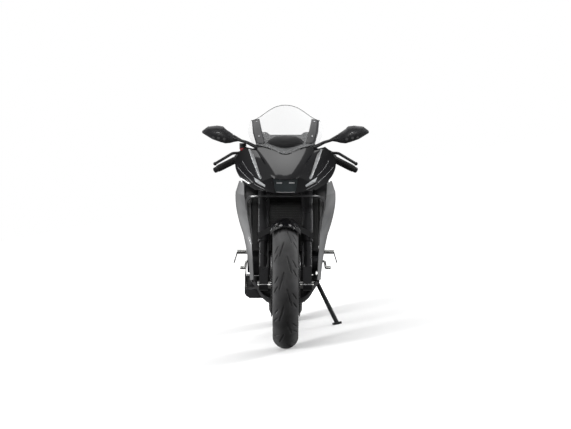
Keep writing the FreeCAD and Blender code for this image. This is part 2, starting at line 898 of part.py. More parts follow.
def bottom_yoke():
    """The lower yoke with the steering stem, which passes up through the head tube and the top yoke."""
    body = yoke("bottom_yoke", "lower_yoke_bottom", "lower_yoke_height", stem_hole=False)
    stem = [("circle", "0", FORK_OFFSET, "stem_radius")]
    length = "upper_yoke_bottom + upper_yoke_height + seat_gap + overrun - lower_yoke_bottom"
    pad(body, draw(body, "XY_Plane", stem, "lower_yoke_bottom"), length)
    nut = [("circle", "0", FORK_OFFSET, "stem_nut_radius")]
    seat = "upper_yoke_bottom + upper_yoke_height + seat_gap"
    pad(body, draw(body, "XY_Plane", nut, seat), "stem_nut_height")
    return place(body, leg_frame())


def front_axle():
    """A hollow axle with the collars that stand between the wheel's bearings and the fork feet."""
    body = new_body("front_axle")
    end = "(fork_half_spacing + fork_foot_outboard + seat_gap)"
    foot = "(fork_half_spacing - fork_foot_inboard - seat_gap)"
    hub = "(disc_offset + disc_thickness / 2 + seat_gap)"
    collar = "(front_axle_radius * 1.7)"
    half = [
        (hub, "front_axle_radius"), (hub, collar), (foot, collar), (foot, "front_axle_radius"),
        (end, "front_axle_radius"), (end, collar), (f"{end} + axle_head", collar),
        (f"{end} + axle_head", "front_axle_bore"),
    ]
    outline = half + [(f"-({x})", y) for x, y in half[::-1]]
    revolve(body, draw(body, "XY_Plane", [outline]))
    return place(body, leg_frame())


def handlebars():
    """Clip-on bars: a ring round each fork leg under the top yoke, and a bar swept back and down."""
    frame = bar_frame()
    leg = leg_frame()
    bottom = leg.multVec(Vector(size("fork_half_spacing"), 0, size("bar_clamp_bottom")))
    up = leg.Rotation.multVec(Vector(0, 0, 1))
    ring = Part.makeCylinder(size("fork_tube_radius + bar_clamp_wall"), size("bar_clamp_height"), bottom, up)
    bar = rod(frame.multVec(Vector(size("fork_tube_radius + bar_clamp_wall / 2"), 0, 0)),
              frame.multVec(Vector(size("bar_length"), 0, 0)), size("bar_radius"))
    weight = rod(frame.multVec(Vector(size("bar_length - bar_end_length"), 0, 0)),
                 frame.multVec(Vector(size("bar_length"), 0, 0)), size("bar_end_radius"))
    hole = Part.makeCylinder(size("fork_tube_radius + seat_gap"), size("fork_top"),
                             leg.multVec(Vector(size("fork_half_spacing"), 0, 0)), up)
    return shaped("handlebars", both_sides(joined([ring, bar, weight]).cut(hole)))


def on_bar(start, length, radius):
    """A sleeve round the left bar, from start outwards, with room for the bar."""
    frame = bar_frame()
    ends = [frame.multVec(Vector(size(x), 0, 0)) for x in (start, f"{start} + {length}")]
    return rod(*ends, size(radius)).cut(rod(*ends, size("bar_radius + seat_gap")))


GRIP_START = "(bar_length - bar_end_length - seat_gap - grip_length)"
SWITCH_START = "(bar_length - bar_end_length - grip_length - switch_length - 2 * seat_gap)"
PERCH_START = "(bar_length - bar_end_length - grip_length - switch_length - perch_length - 3 * seat_gap)"


def grips():
    return shaped("grips", both_sides(on_bar(GRIP_START, "grip_length", "grip_radius")))


def hand_controls():
    """Switch housings, lever perches and levers, the same on both bars, and the front brake's reservoir."""
    frame = bar_frame()
    switch = on_bar(SWITCH_START, "switch_length", "switch_radius")
    perch = on_bar(PERCH_START, "perch_length", "perch_radius")
    x = size(f"{PERCH_START} + perch_length / 2")
    reach, sweep = size("lever_reach"), size("lever_sweep")
    cylinder = rod(frame.multVec(Vector(x - size("perch_length"), -reach / 2, 0)),
                   frame.multVec(Vector(x + size("perch_length / 2"), -reach / 2, 0)),
                   size("master_cylinder_radius"))
    arm = rod(frame.multVec(Vector(x, -size("perch_radius") * 0.8, 0)),
              frame.multVec(Vector(x, -reach / 2, 0)), size("lever_radius"))
    route = [(x, -reach / 2, 0), (x + reach / 2, -reach, 0), (x + size("lever_length"), sweep - reach, 0)]
    blade = tube([frame.multVec(Vector(*point)) for point in route], size("lever_radius"))
    tip = Part.makeSphere(size("lever_tip_radius"), frame.multVec(Vector(*route[-1])))
    left = joined([perch, cylinder, arm, blade, tip])
    cup = frame.multVec(Vector(x - size("perch_length / 2"), -reach / 2, size("reservoir_rise")))
    reservoir = Part.makeCylinder(size("reservoir_radius"), size("reservoir_height"), cup)
    stalk = rod(frame.multVec(Vector(x - size("perch_length / 2"), -reach / 2, 0)),
                cup + Vector(0, 0, size("reservoir_height") / 2), size("lever_radius"))
    across = Vector(1, 0, 0)
    both = [left, left.mirror(Vector(0, 0, 0), across), switch, switch.mirror(Vector(0, 0, 0), across)]
    both[1] = joined(
        [both[1], stalk.mirror(Vector(0, 0, 0), across), reservoir.mirror(Vector(0, 0, 0), across)]
    )
    return shaped("hand_controls", Part.makeCompound(both))


def front_mudguard():
    """A band over the tyre, with wings that reach out to the fork legs."""
    body = new_body("mudguard_band")
    top = "(front_rim_radius + front_tyre_height + mudguard_gap)"
    crown = "(front_crown_radius + mudguard_gap)"
    half = "mudguard_half_width"
    inner = f"({top} - {crown} + sqrt({crown}^2 - {half}^2))"
    outer = f"({top} - {crown} + sqrt(({crown} + mudguard_thickness)^2 - {half}^2))"
    outline = [
        (f"-{half}", outer, f"{crown} + mudguard_thickness"), (half, outer),
        (half, inner, f"-{crown}"), (f"-{half}", inner),
    ]
    band = revolve(body, draw(body, "XY_Plane", [outline]))
    band.setExpression("Angle", bound("mudguard_rear_angle - mudguard_front_angle"))
    doc.recompute()
    turn = Rotation(Vector(1, 0, 0), 180 - size("mudguard_rear_angle"))
    shell = body.Shape.copy()
    shell.Placement = Placement(Vector(0, 0, front_radius()), turn)
    wing = wing_plate()
    doc.removeObject(body.Name)
    return shaped("front_mudguard", joined([shell, wing, wing.mirror(Vector(0, 0, 0), Vector(1, 0, 0))]))


def wing_plate():
    """A plate from the band's edge out to the front of the left fork leg."""
    frame = leg_frame()
    front = -size("fork_tube_radius + seat_gap + mudguard_wing_thickness")
    low, high = size("fork_tube_bottom"), size("front_rim_radius + front_tyre_height - rim_flange_height")
    inside = size("mudguard_half_width - mudguard_thickness")
    outside = size("fork_half_spacing + fork_tube_radius")
    corners = [
        (inside, low + size("fork_foot_height") / 2), (outside, low + size("overrun")),
        (outside, (low + high) / 2), (inside, high),
    ]
    points = [frame.multVec(Vector(x, front, z)) for x, z in corners]
    face = Part.Face(Part.makePolygon(points + points[:1]))
    return face.extrude(frame.Rotation.multVec(Vector(0, size("mudguard_wing_thickness"), 0)))


# Frame, swingarm and engine

PIVOT_PLATE_SHARES = [
    (8.14, 5.30), (8.52, 5.30), (8.88, 4.40), (8.92, 3.30), (8.60, 2.95), (8.20, 2.98), (8.12, 3.80)
]
UPPER_TUBE_SHARES = [(.80, 4.30, 8.15), (1.10, 6.40, 7.70), (1.20, 7.90, 5.90), (1.46, 8.36, 4.95)]
LOWER_TUBE_SHARES = [(1.60, 4.20, 7.15), (1.60, 6.10, 6.42), (1.15, 7.20, 6.66)]
SEAT_RAIL_SHARES = [
    (1.08, 6.60, 7.58), (.92, 9.00, 7.40), (.88, 10.6, 7.58), (.82, 11.8, 7.80), (.62, 13.6, 8.50)
]
SEAT_STAY_SHARES = [(1.16, 7.80, 5.95), (.96, 9.40, 6.50), (.80, 12.2, 7.94)]
TOP_CROSS_SHARE = (1.18, 7.98, 5.70)
RAIL_CROSS_SHARES = [(.90, 9.20, 7.42), (.62, 13.5, 8.46)]
HEAD_MOUNT_SHARE = (1.60, 5.60, 6.57)
SHOCK_TOP_SHARE = (0, 8.92, 5.98)
SHOCK_FOOT_SHARE = (0, 9.16, 3.24)


def pivot():
    return Vector(0, size("swingarm_pivot_along"), size("swingarm_pivot_up"))


def cross_tube(share, radius):
    end = at(share)
    return rod(Vector(-end.x, end.y, end.z), end, radius)


def along_up(shares):
    """The (along, up) places of a side outline, in millimetres."""
    return [(point.y, point.z) for point in (at((0, *share)) for share in shares)]


def head_tube_place(across, back, up):
    """A point given from the steering axis, at a height along it."""
    return steering_frame().multVec(Vector(across, back, up))


def main_frame():
    """A frame of steel tubes from the head tube to the swingarm's pivot plates, with its seat rails."""
    head_low = size("lower_yoke_bottom + lower_yoke_height + head_tube_gap")
    head_high = size("upper_yoke_bottom - head_tube_gap")
    base = head_tube_place(0, 0, head_low)
    axis = head_tube_place(0, 0, head_high) - base
    tube_radius, rail_radius = size("frame_tube_radius"), size("seat_rail_radius")
    cross = size("cross_tube_radius")
    wall = size("head_tube_radius")
    upper_root = head_tube_place(wall * 0.8, wall * 0.4, (head_low + 2 * head_high) / 3)
    lower_root = head_tube_place(wall * 0.7, wall * 0.7, head_low + wall)
    side = [
        tube([upper_root] + [at(share) for share in UPPER_TUBE_SHARES], tube_radius),
        tube([lower_root] + [at(share) for share in LOWER_TUBE_SHARES], tube_radius),
        tube([at(share) for share in SEAT_RAIL_SHARES], rail_radius),
        tube([at(share) for share in SEAT_STAY_SHARES], rail_radius),
    ]
    inboard, thick = size("pivot_plate_inboard"), size("pivot_plate_thickness")
    plate = slab(along_up(PIVOT_PLATE_SHARES), inboard, inboard + thick)
    bolt_hole = rod(pivot(), pivot() + Vector(2 * inboard, 0, 0), size("pivot_radius + running_gap"))
    mount = at(HEAD_MOUNT_SHARE)
    boss = rod(Vector(size("cylinder_half + seat_gap"), mount.y, mount.z), mount, rail_radius)
    left = joined(side + [plate, boss]).cut(bolt_hole)
    right = left.mirror(Vector(0, 0, 0), Vector(1, 0, 0))
    shock = at(SHOCK_TOP_SHARE)
    beam = at(TOP_CROSS_SHARE)
    half, gauge = size("shock_bracket_half"), size("bracket_thickness")
    margin = size("shock_eye_radius")
    ear = slab([(beam.y, beam.z - margin), (shock.y, shock.z - margin), (shock.y + margin, shock.z),
                (shock.y, shock.z + margin), (beam.y, beam.z + margin)], half, half + gauge)
    pin = rod(
        Vector(-half - gauge, shock.y, shock.z), Vector(half + gauge, shock.y, shock.z),
        size("pivot_radius") / 2
    )
    middle = [
        rod(base, base + axis, wall), cross_tube(TOP_CROSS_SHARE, cross),
        ear, ear.mirror(Vector(0, 0, 0), Vector(1, 0, 0)), pin, stand_bracket(),
    ]
    middle += [cross_tube(share, rail_radius) for share in RAIL_CROSS_SHARES]
    frame = joined(middle + [left, right])
    bore = rod(base - axis, base + axis * 2, size("stem_radius + running_gap"))
    return shaped("main_frame", frame.cut(bore))


def box_section(centre, half_wide, half_high, tilt_to):
    """A rectangle square to a level line towards another point, for lofting an arm."""
    corners = [
        (-half_wide, -half_high), (half_wide, -half_high), (half_wide, half_high), (-half_wide, half_high)
    ]
    points = [Vector(centre.x + x, centre.y, centre.z + z) for x, z in corners]
    return Part.makePolygon(points + points[:1])


ARM_STEP_SHARES = [0, 0.27, 0.58, 1, 1.06]
SWINGARM_BRACE_SHARES = [(9.48, 3.42), (10.30, 3.36), (10.36, 3.98), (9.60, 4.20)]


def swingarm_arm(sign, inboard):
    """One arm, from the pivot tube, which it meets further in, back past the axle."""
    start, axle = pivot(), rear_wheel_frame().Base
    thick = size("swingarm_arm_thickness")
    root_in = size("swingarm_pivot_half") - thick
    tip_in = size(inboard)
    sections = []
    for share in ARM_STEP_SHARES:
        spread = min(1.0, share / ARM_STEP_SHARES[2])
        inner = root_in + (tip_in - root_in) * spread
        middle = start + (axle - start) * share
        half = size("swingarm_root_half") + size("swingarm_tip_half - swingarm_root_half") * min(1.0, share)
        centre = Vector(sign * (inner + thick / 2), middle.y, middle.z)
        sections.append(box_section(centre, thick / 2, half, axle))
    return Part.makeLoft(sections, True, True)


def swingarm():
    """A swingarm of two tapered arms, their cross tube at the pivot and the brace that the shock pushes on."""
    half = size("swingarm_pivot_half")
    arms = [swingarm_arm(1, "swingarm_left_inboard"), swingarm_arm(-1, "swingarm_right_inboard")]
    start = pivot()
    cross = rod(start - Vector(half, 0, 0), start + Vector(half, 0, 0), size("swingarm_tube_radius"))
    reach = half - size("swingarm_arm_thickness") / 2
    brace = slab(along_up(SWINGARM_BRACE_SHARES), -reach, reach)
    foot = at(SHOCK_FOOT_SHARE)
    margin, bracket, gauge = size("shock_eye_radius"), size("shock_bracket_half"), size("bracket_thickness")
    root_y, root_z = along_up(SWINGARM_BRACE_SHARES)[0]
    ear = slab([
        (foot.y, foot.z - margin), (root_y + 2 * margin, root_z + gauge),
        (root_y + margin, root_z + 2 * margin), (foot.y - margin, foot.z),
    ], bracket, bracket + gauge)
    ends = [Vector(side * (bracket + gauge), foot.y, foot.z) for side in (-1, 1)]
    pin = rod(*ends, size("pivot_radius") / 2)
    axle = rear_wheel_frame().Base
    bobbins = []
    for sign, inboard in ((1, "swingarm_left_inboard"), (-1, "swingarm_right_inboard")):
        face = Vector(sign * size(f"{inboard} + swingarm_arm_thickness - overrun"), 0, 0)
        seat = axle + (start - axle).normalize() * size("swingarm_tip_overhang * 1.4") + face
        bobbins.append(
            rod(seat, seat + Vector(sign * size("bobbin_length + overrun"), 0, 0), size("bobbin_radius"))
        )
    body = joined(arms + [cross, brace, ear, ear.mirror(Vector(0, 0, 0), Vector(1, 0, 0)), pin] + bobbins)
    reach = Vector(size("swingarm_left_inboard + 2 * swingarm_arm_thickness"), 0, 0)
    holes = [rod(place - reach, place + reach, size(radius)) for place, radius in
             ((start, "pivot_radius + running_gap"), (axle, "rear_axle_radius + running_gap"))]
    return shaped("swingarm", body.cut(holes))


def rear_shock():
    """The shock absorber with its coil drawn as stacked rings."""
    top, foot = at(SHOCK_TOP_SHARE), at(SHOCK_FOOT_SHARE)
    line = (foot - top).normalize()
    pin = size("pivot_radius / 2 + running_gap")
    half, eye = size("shock_bracket_half - seat_gap"), size("shock_eye_radius")
    across = Vector(half, 0, 0)
    eyes = [rod(end - across, end + across, eye) for end in (top, foot)]
    holes = [rod(end - across * 2, end + across * 2, pin) for end in (top, foot)]
    length = top.distanceToPoint(foot)
    neck = rod(top, foot, half * 0.8)
    body = rod(top + line * eye * 1.7, foot - line * eye * 1.7, size("shock_body_radius"))
    spring_top, spring_foot = 2.4 * eye, length - 2.4 * eye
    turns = int(size("shock_spring_turns"))
    rings = []
    for turn in range(turns + 1):
        centre = top + line * (spring_top + (spring_foot - spring_top) * turn / turns)
        half_wire = line * size("shock_wire_radius")
        rings.append(rod(centre - half_wire, centre + half_wire, size("shock_spring_radius")))
    return shaped("rear_shock", joined([body, neck, *eyes, *rings]).cut(holes))


def pivot_bolt_and_axle():
    """The swingarm's pivot bolt and the rear axle."""
    start, axle = pivot(), rear_wheel_frame().Base
    plate = size("pivot_plate_inboard + pivot_plate_thickness + seat_gap")
    head = size("pivot_head")
    solids = []
    for place, radius, right, left in (
        (start, size("pivot_radius"), plate, plate),
        (axle, size("rear_axle_radius"), size("swingarm_right_inboard + swingarm_arm_thickness + seat_gap"),
         size("swingarm_left_inboard + swingarm_arm_thickness + seat_gap")),
    ):
        ends = [place - Vector(right + head, 0, 0), place + Vector(left + head, 0, 0)]
        nuts = [
            rod(ends[0], place - Vector(right, 0, 0), radius * 1.6),
            rod(place + Vector(left, 0, 0), ends[1], radius * 1.6)
        ]
        solids.append(joined([rod(*ends, radius), *nuts]))
    return shaped("pivot_bolt_and_axle", Part.makeCompound(solids))


CRANKCASE_SHARES = [
    (4.56, 3.40), (4.72, 2.62), (5.40, 2.34), (7.60, 2.40), (8.02, 3.00),
    (8.02, 4.60), (7.50, 5.10), (6.40, 5.30), (5.00, 4.70),
]
CYLINDER_SHARES = [
    (4.92, 4.40), (6.42, 5.00), (6.12, 6.10), (5.92, 7.10), (5.40, 7.42), (4.62, 7.10), (4.60, 6.10)
]
CLUTCH_SHARE = (6.85, 3.92)
GENERATOR_SHARE = (5.78, 3.86)
SPROCKET_COVER_SHARES = [
    (6.90, 4.30), (7.10, 3.70), (7.60, 3.62), (7.98, 3.90), (8.00, 4.40), (7.60, 4.72), (7.10, 4.68)
]
FRONT_SPROCKET_SHARE = (7.46, 4.10)


def stepped_cover(side, share, face, radius, depth):
    """A round engine cover whose outer step is narrower."""
    centre = at((0, *share))
    step = size("cover_step")
    start = centre + Vector(side * (face - step), 0, 0)
    end = centre + Vector(side * (face + depth - step), 0, 0)
    tip = centre + Vector(side * (face + depth), 0, 0)
    return [rod(start, end, radius), rod(start, tip, radius - step)]


def engine():
    """The engine as one block: crankcase, leaning cylinders and head, and its two side covers."""
    right, left, half = size("engine_right"), size("engine_left"), size("cylinder_half")
    blocks = [slab(along_up(CRANKCASE_SHARES), -right, left), slab(along_up(CYLINDER_SHARES), -half, half)]
    blocks += stepped_cover(-1, CLUTCH_SHARE, right, size("clutch_cover_radius"), size("clutch_cover_depth"))
    blocks += stepped_cover(
        1, GENERATOR_SHARE, left, size("generator_cover_radius"), size("generator_cover_depth")
    )
    return shaped("engine", joined(blocks))


def front_sprocket():
    body = new_body("front_sprocket")
    disc_outline = [("circle", "0", "0", sprocket_tip_radius("front_sprocket_teeth"))]
    pad(body, draw(body, "YZ_Plane", disc_outline, "chain_line"), "sprocket_thickness", both_ways=True)
    shaft_start = "(engine_left + seat_gap)"
    shaft = draw(body, "YZ_Plane", [("circle", "0", "0", "sprocket_shaft_radius")], shaft_start)
    pad(body, shaft, f"chain_line + sprocket_thickness - {shaft_start}")
    return place(body, Placement(at((0, *FRONT_SPROCKET_SHARE)), Rotation()))


def drive_chain():
    """The chain as one closed loop round both sprockets, in its stretched shape."""
    front, rear = at((0, *FRONT_SPROCKET_SHARE)), rear_wheel_frame().Base
    counts = ("front_sprocket_teeth", "rear_sprocket_teeth")
    radii = [size(f"chain_pitch / 2 / sin(180deg / {teeth})") for teeth in counts]
    half = size("chain_plate_half")
    loops = [belt_loop(front, rear, radii[0] + shift, radii[1] + shift) for shift in (half, -half)]
    wide = size("chain_inner_width / 2 + 2 * chain_plate_thickness")
    solids = [Part.Face(loop).extrude(Vector(2 * wide, 0, 0)) for loop in loops]
    band = solids[0].cut(solids[1])
    band.translate(Vector(size("chain_line") - wide, 0, 0))
    gap = size("chain_inner_width / 2")
    edges = (-size("chain_roller_radius"), -2 * half)
    loops = [belt_loop(front, rear, radii[0] + shift, radii[1] + shift) for shift in edges]
    channel = [Part.Face(loop).extrude(Vector(2 * gap, 0, 0)) for loop in loops]
    slot = channel[0].cut(channel[1])
    slot.translate(Vector(size("chain_line") - gap, 0, 0))
    return shaped("drive_chain", band.cut(slot))


def belt_loop(front, rear, front_radius_out, rear_radius_out):
    """The closed line of two arcs and two tangents round two circles in the plane across the machine."""
    gap = rear - front
    slope = math.atan2(gap.z, gap.y)
    flare = math.asin((rear_radius_out - front_radius_out) / math.hypot(gap.y, gap.z))

    def rim_point(centre, radius, angle):
        return Vector(0, centre.y + radius * math.cos(angle), centre.z + radius * math.sin(angle))

    up, down = slope + math.pi / 2 + flare, slope - math.pi / 2 - flare
    top = [rim_point(front, front_radius_out, up), rim_point(rear, rear_radius_out, up)]
    foot = [rim_point(rear, rear_radius_out, down), rim_point(front, front_radius_out, down)]
    return Part.Wire([
        Part.LineSegment(top[0], top[1]).toShape(),
        Part.Arc(top[1], rim_point(rear, rear_radius_out, slope), foot[0]).toShape(),
        Part.LineSegment(foot[0], foot[1]).toShape(),
        Part.Arc(foot[1], rim_point(front, front_radius_out, slope + math.pi), top[0]).toShape(),
    ])


def sprocket_cover():
    inner = size("chain_line + chain_inner_width / 2 + 2 * chain_plate_thickness + sprocket_cover_gap")
    outline = along_up(SPROCKET_COVER_SHARES)
    plate = slab(outline, inner, inner + size("sprocket_cover_thickness"))
    posts = [rod(Vector(size("engine_left + seat_gap"), y, z), Vector(inner, y, z), size("bobbin_radius / 2"))
             for y, z in (outline[0], outline[5])]
    return shaped("sprocket_cover", joined([plate, *posts]))


RADIATOR_SHARE = (0, 3.60, 5.72)


def radiator():
    """The radiator core between its side tanks, with upright tubes and the gaps between them."""
    body = new_body("radiator")
    half, high = "radiator_half_width", "(radiator_height / 2)"
    outline = [(f"-{half}", f"-{high}"), (half, f"-{high}"), (half, high), (f"-{half}", high)]
    pad(body, draw(body, "XZ_Plane", [outline]), "radiator_depth", both_ways=True)
    inner = f"({half} - radiator_tank)"
    foot, head = f"radiator_tank / 2 - {high}", f"{high} - radiator_tank / 2"
    left, right = f"-{inner}", f"radiator_fin_gap - {inner}"
    gap = [(left, foot), (right, foot), (right, head), (left, head)]
    front = "radiator_depth / 2 - radiator_fin_depth"
    cut = pad(
        body, draw(body, "XZ_Plane", [gap], front), "radiator_fin_depth + overrun", kind="Pocket",
        backwards=True
    )
    row = body.newObject("PartDesign::LinearPattern", "radiator_rows")
    row.Originals = [cut]
    row.Direction = (origin_item(body, "X_Axis"), [""])
    row.setExpression("Occurrences", bound(f"floor(2 * {inner} / radiator_fin_pitch)"))
    row.setExpression("Length", bound(f"2 * {inner} - radiator_fin_pitch"))
    body.Tip = row
    return place(body, Placement(at(RADIATOR_SHARE), Rotation(Vector(1, 0, 0), -size("radiator_tilt"))))


HEADER_PORT_SHARE = (.45, 4.60, 6.30)
HEADER_SHARES = [(.45, 4.22, 6.30), (.42, 4.22, 3.20), (.20, 4.56, 2.24), (-.05, 5.40, 2.04)]
COLLECTOR_SHARES = [(-.05, 5.10, 2.06), (-.66, 5.74, 2.07), (-.86, 6.06, 2.08)]
SILENCER_SHARES = [
    (-.50, 6.40, 1.86, 2.32), (-.52, 7.10, 1.84, 2.32), (-.56, 8.10, 1.84, 2.32), (-.62, 8.50, 1.90, 2.84),
    (-.72, 9.20, 2.08, 2.90), (-.95, 9.75, 2.34, 2.86),
]
SILENCER_OUTER_SHARE = -2.02
SHIELD_SHARES = [
    (6.60, 2.26), (6.90, 1.98), (9.10, 2.12), (9.86, 2.56), (9.95, 2.90), (9.60, 3.26), (8.60, 3.26),
    (7.10, 3.02)
]
SHIELD_POST_SHARES = [(7.20, 2.08), (9.00, 2.46)]
OUTLET_SHARES = [(-1.50, 9.60, 2.60), (-1.66, 10.1, 2.54)]


def exhaust_pipes():
    """Two header pipes from the cylinders down in front of the engine, joined to one pipe under it."""
    radius, gap = size("header_radius"), Vector(0, size("seat_gap"), 0)
    pipes = []
    for side in (1, -1):
        places = [HEADER_PORT_SHARE] + HEADER_SHARES[:-1]
        route = [at((across * side, along, up)) for across, along, up in places] + [at(HEADER_SHARES[-1])]
        pipes.append(tube([route[0] - gap] + route[1:], radius))
    last = at(COLLECTOR_SHARES[-1])
    end = Vector(last.x, at((0, SILENCER_SHARES[0][1], 0)).y, last.z) - gap
    pipes.append(tube([at(share) for share in COLLECTOR_SHARES] + [end], radius * 1.2))
    return shaped("exhaust_pipes", joined(pipes))


def silencer():
    """The low silencer box on the right of the engine's underside, with its outlet."""
    sections = []
    outer = at((SILENCER_OUTER_SHARE, 0, 0)).x
    for inner, along, low, high in SILENCER_SHARES:
        foot, top = at((inner, along, low)), at((inner, along, high))
        corners = [(foot.x, foot.z), (outer * 0.9, foot.z), (outer, foot.z + (top.z - foot.z) * 0.3),
                   (outer, top.z), (top.x, top.z)]
        points = [Vector(x, foot.y, z) for x, z in corners]
        sections.append(Part.makePolygon(points + points[:1]))
    box = Part.makeLoft(sections, True, True)
    outlet = [at(share) for share in OUTLET_SHARES]
    pipe = rod(*outlet, size("outlet_radius"))
    bore = rod(*outlet, size("outlet_radius - silencer_wall"))
    return shaped("silencer", joined([box, pipe]).cut(bore))


def silencer_shield():
    """The bright plate outside the silencer."""
    outer = at((SILENCER_OUTER_SHARE, 0, 0)).x - size("silencer_shield_gap")
    plate = slab(along_up(SHIELD_SHARES), outer - size("silencer_shield_thickness"), outer)
    inner, radius = outer + size("silencer_shield_gap - seat_gap"), size("bobbin_radius / 2")
    seats = along_up(SHIELD_POST_SHARES)
    posts = [rod(Vector(inner, y, z), Vector(outer, y, z), radius) for y, z in seats]
    return shaped("silencer_shield", joined([plate, *posts]))


# Bodywork: rows of (across, along, up) places on the lines plan

SCREEN_SHARES = [
    [(0, 3.35, 11.56), (0, 2.40, 10.75), (0, 1.50, 9.85), (0, .74, 9.18)],
    [(.62, 3.28, 11.41), (.66, 2.42, 10.72), (.64, 1.56, 9.94), (.58, .88, 9.40)],
    [(1.22, 3.10, 11.00), (1.30, 2.42, 10.60), (1.24, 1.68, 10.02), (1.12, 1.16, 9.56)],
    [(1.68, 2.85, 10.80), (1.80, 2.45, 10.46), (1.77, 1.84, 10.06), (1.60, 1.46, 9.68)],
]
NOSE_SHARES = [
    [(0, .62, 9.12), (0, .16, 8.78), (0, -.32, 8.36), (0, -.62, 7.97), (0, -.56, 7.28)],
    [(.80, 1.00, 9.40), (.66, .42, 8.94), (.50, -.14, 8.46), (.34, -.52, 7.99), (.27, -.47, 7.28)],
    [(1.46, 1.40, 9.40), (1.20, .88, 9.02), (.90, .22, 8.50), (.62, -.36, 8.07), (.50, -.34, 7.32)],
    [(1.74, 1.46, 9.46), (1.60, 1.12, 8.98), (1.36, .62, 8.36), (1.12, .14, 7.88), (.86, .04, 7.40)],
    [(1.88, 1.50, 9.50), (2.36, 1.52, 8.96), (2.33, 1.60, 8.30), (1.92, 1.30, 7.74), (1.42, .92, 7.44)],
]
LAMP_SHARES = [(-.61, 8.00), (0, 7.92), (.61, 8.00), (.47, 7.35), (-.47, 7.35)]
LAMP_FRONT_SHARE = -.31
LAMP_BACK_SHARE = .30
SLIT_SHARES = [(1.72, 1.42, 9.38), (1.50, .96, 8.76), (1.14, .22, 7.98)]
LIP_SHARES = [
    [(0, .10, 7.16), (.90, .22, 7.16), (1.55, .62, 7.12), (1.82, 1.36, 6.84), (1.80, 2.30, 6.30)],
    [(0, .96, 7.22), (.90, .92, 7.22), (1.62, 1.04, 7.18), (1.92, 1.76, 6.92), (1.92, 2.722, 6.454)],
]
FAIRING_SHARES = [
    [(1.58, 3.56, 3.00), (1.68, 4.10, 2.94), (1.75, 4.75, 2.90), (1.76, 5.35, 2.90), (1.72, 5.84, 2.96)],
    [(1.62, 3.42, 3.97), (1.78, 4.05, 3.92), (1.86, 4.75, 3.90), (1.85, 5.35, 3.94), (1.80, 5.84, 4.02)],
    [(1.68, 3.35, 5.03), (2.00, 3.90, 5.15), (2.10, 4.70, 5.19), (2.06, 5.40, 5.24), (1.96, 5.92, 5.30)],
    [(1.90, 2.70, 6.50), (2.32, 3.30, 6.60), (2.45, 4.20, 6.66), (2.38, 5.20, 6.70), (2.12, 6.00, 6.64)],
    [(1.98, 1.95, 7.16), (2.34, 2.70, 7.28), (2.44, 3.60, 7.30), (2.36, 4.60, 7.22), (2.10, 5.50, 7.10)],
    [(2.00, 1.66, 7.72), (2.20, 2.30, 7.86), (2.26, 3.00, 7.78), (2.18, 3.80, 7.52), (1.98, 4.50, 7.26)],
]
BELLY_POST_SHARES = [(-.92, 5.42, 1.76), (.92, 5.42, 1.76), (.80, 6.10, 1.69)]
BELLY_SHARES = [
    [(0, 4.30, 1.86), (0, 4.95, 1.62), (0, 5.65, 1.52), (0, 6.25, 1.50)],
    [(.80, 4.26, 2.02), (.85, 4.95, 1.78), (.86, 5.60, 1.70), (.85, 6.20, 1.70)],
    [(1.26, 4.02, 2.40), (1.34, 4.85, 2.30), (1.36, 5.50, 2.24), (1.34, 6.10, 2.24)],
    [(1.50, 3.62, 2.90), (1.67, 4.75, 2.80), (1.71, 5.35, 2.80), (1.68, 5.84, 2.86)],
]
TANK_STATION_SHARES = [
    (4.34, 1.00, 9.05, 8.10), (4.90, 1.46, 9.62, 7.95), (5.70, 1.70, 10.03, 7.86), (6.60, 1.70, 10.02, 7.80),
    (7.50, 1.40, 9.66, 7.80), (8.20, 1.00, 9.10, 7.86), (8.66, .78, 8.60, 7.96),
]
TANK_SECTION_SHARES = [(0, 0), (.42, .02), (.78, .13), (.97, .38), (1, .62), (.90, 1)]
CAP_SHARE = (0, 6.10, 10.04)
RIDER_SEAT_STATION_SHARES = [
    (8.72, .78, 8.50, 7.98), (9.32, .98, 8.36, 8.00), (10.22, 1.24, 8.34, 8.03), (11.12, 1.24, 8.52, 8.06),
    (11.66, 1.04, 8.70, 8.078),
]
PASSENGER_SEAT_STATION_SHARES = [
    (11.84, 1.12, 9.26, 8.60), (12.4, 1.22, 9.42, 8.72), (13.3, 1.02, 9.52, 8.91), (14.2, .70, 9.50, 9.10),
]
SEAT_SECTION_SHARES = [(0, 0), (.50, .03), (.86, .20), (1, .58), (.94, 1)]
TAIL_SHARES = [
    [(0, 14.35, 9.26), (0, 14.8, 9.32), (0, 15.45, 9.26)],
    [(.50, 14.3, 9.24), (.42, 14.8, 9.28), (.28, 15.42, 9.20)],
]
TAIL_SIDE_SHARES = [
    [
        (1.12, 9.30, 7.42), (1.12, 10.4, 7.56), (1.02, 11.6, 7.96), (.90, 13.0, 8.40), (.62, 14.6, 8.74),
        (.42, 15.5, 8.84)
    ],
    [
        (1.16, 9.10, 7.66), (1.34, 10.3, 7.74), (1.30, 11.6, 8.20), (1.12, 13.0, 8.66), (.78, 14.6, 8.96),
        (.46, 15.5, 9.00)
    ],
    [
        (1.10, 9.00, 7.90), (1.40, 10.2, 7.92), (1.36, 11.6, 8.42), (1.14, 13.0, 8.92), (.76, 14.4, 9.16),
        (.40, 15.45, 9.20)
    ],
]
RIDER_FLOOR_SHARES = [(1.05, 9.15), (1.26, 10.2), (1.35, 11.0)]
PASSENGER_FLOOR_SHARES = [(1.18, 11.9), (1.13, 12.9), (.995, 13.5), (.785, 14.2)]
TAIL_LAMP_SHARES = [(-.38, 8.90), (.38, 8.90), (.25, 9.18), (-.25, 9.18)]
TAIL_LAMP_BACK_SHARE = 15.62
INSTRUMENT_SHARES = [(-.62, 9.34), (.62, 9.34), (.74, 9.76), (.55, 10.03), (-.55, 10.03), (-.74, 9.76)]
INSTRUMENT_PLACE_SHARE = (0, 1.91, 0)
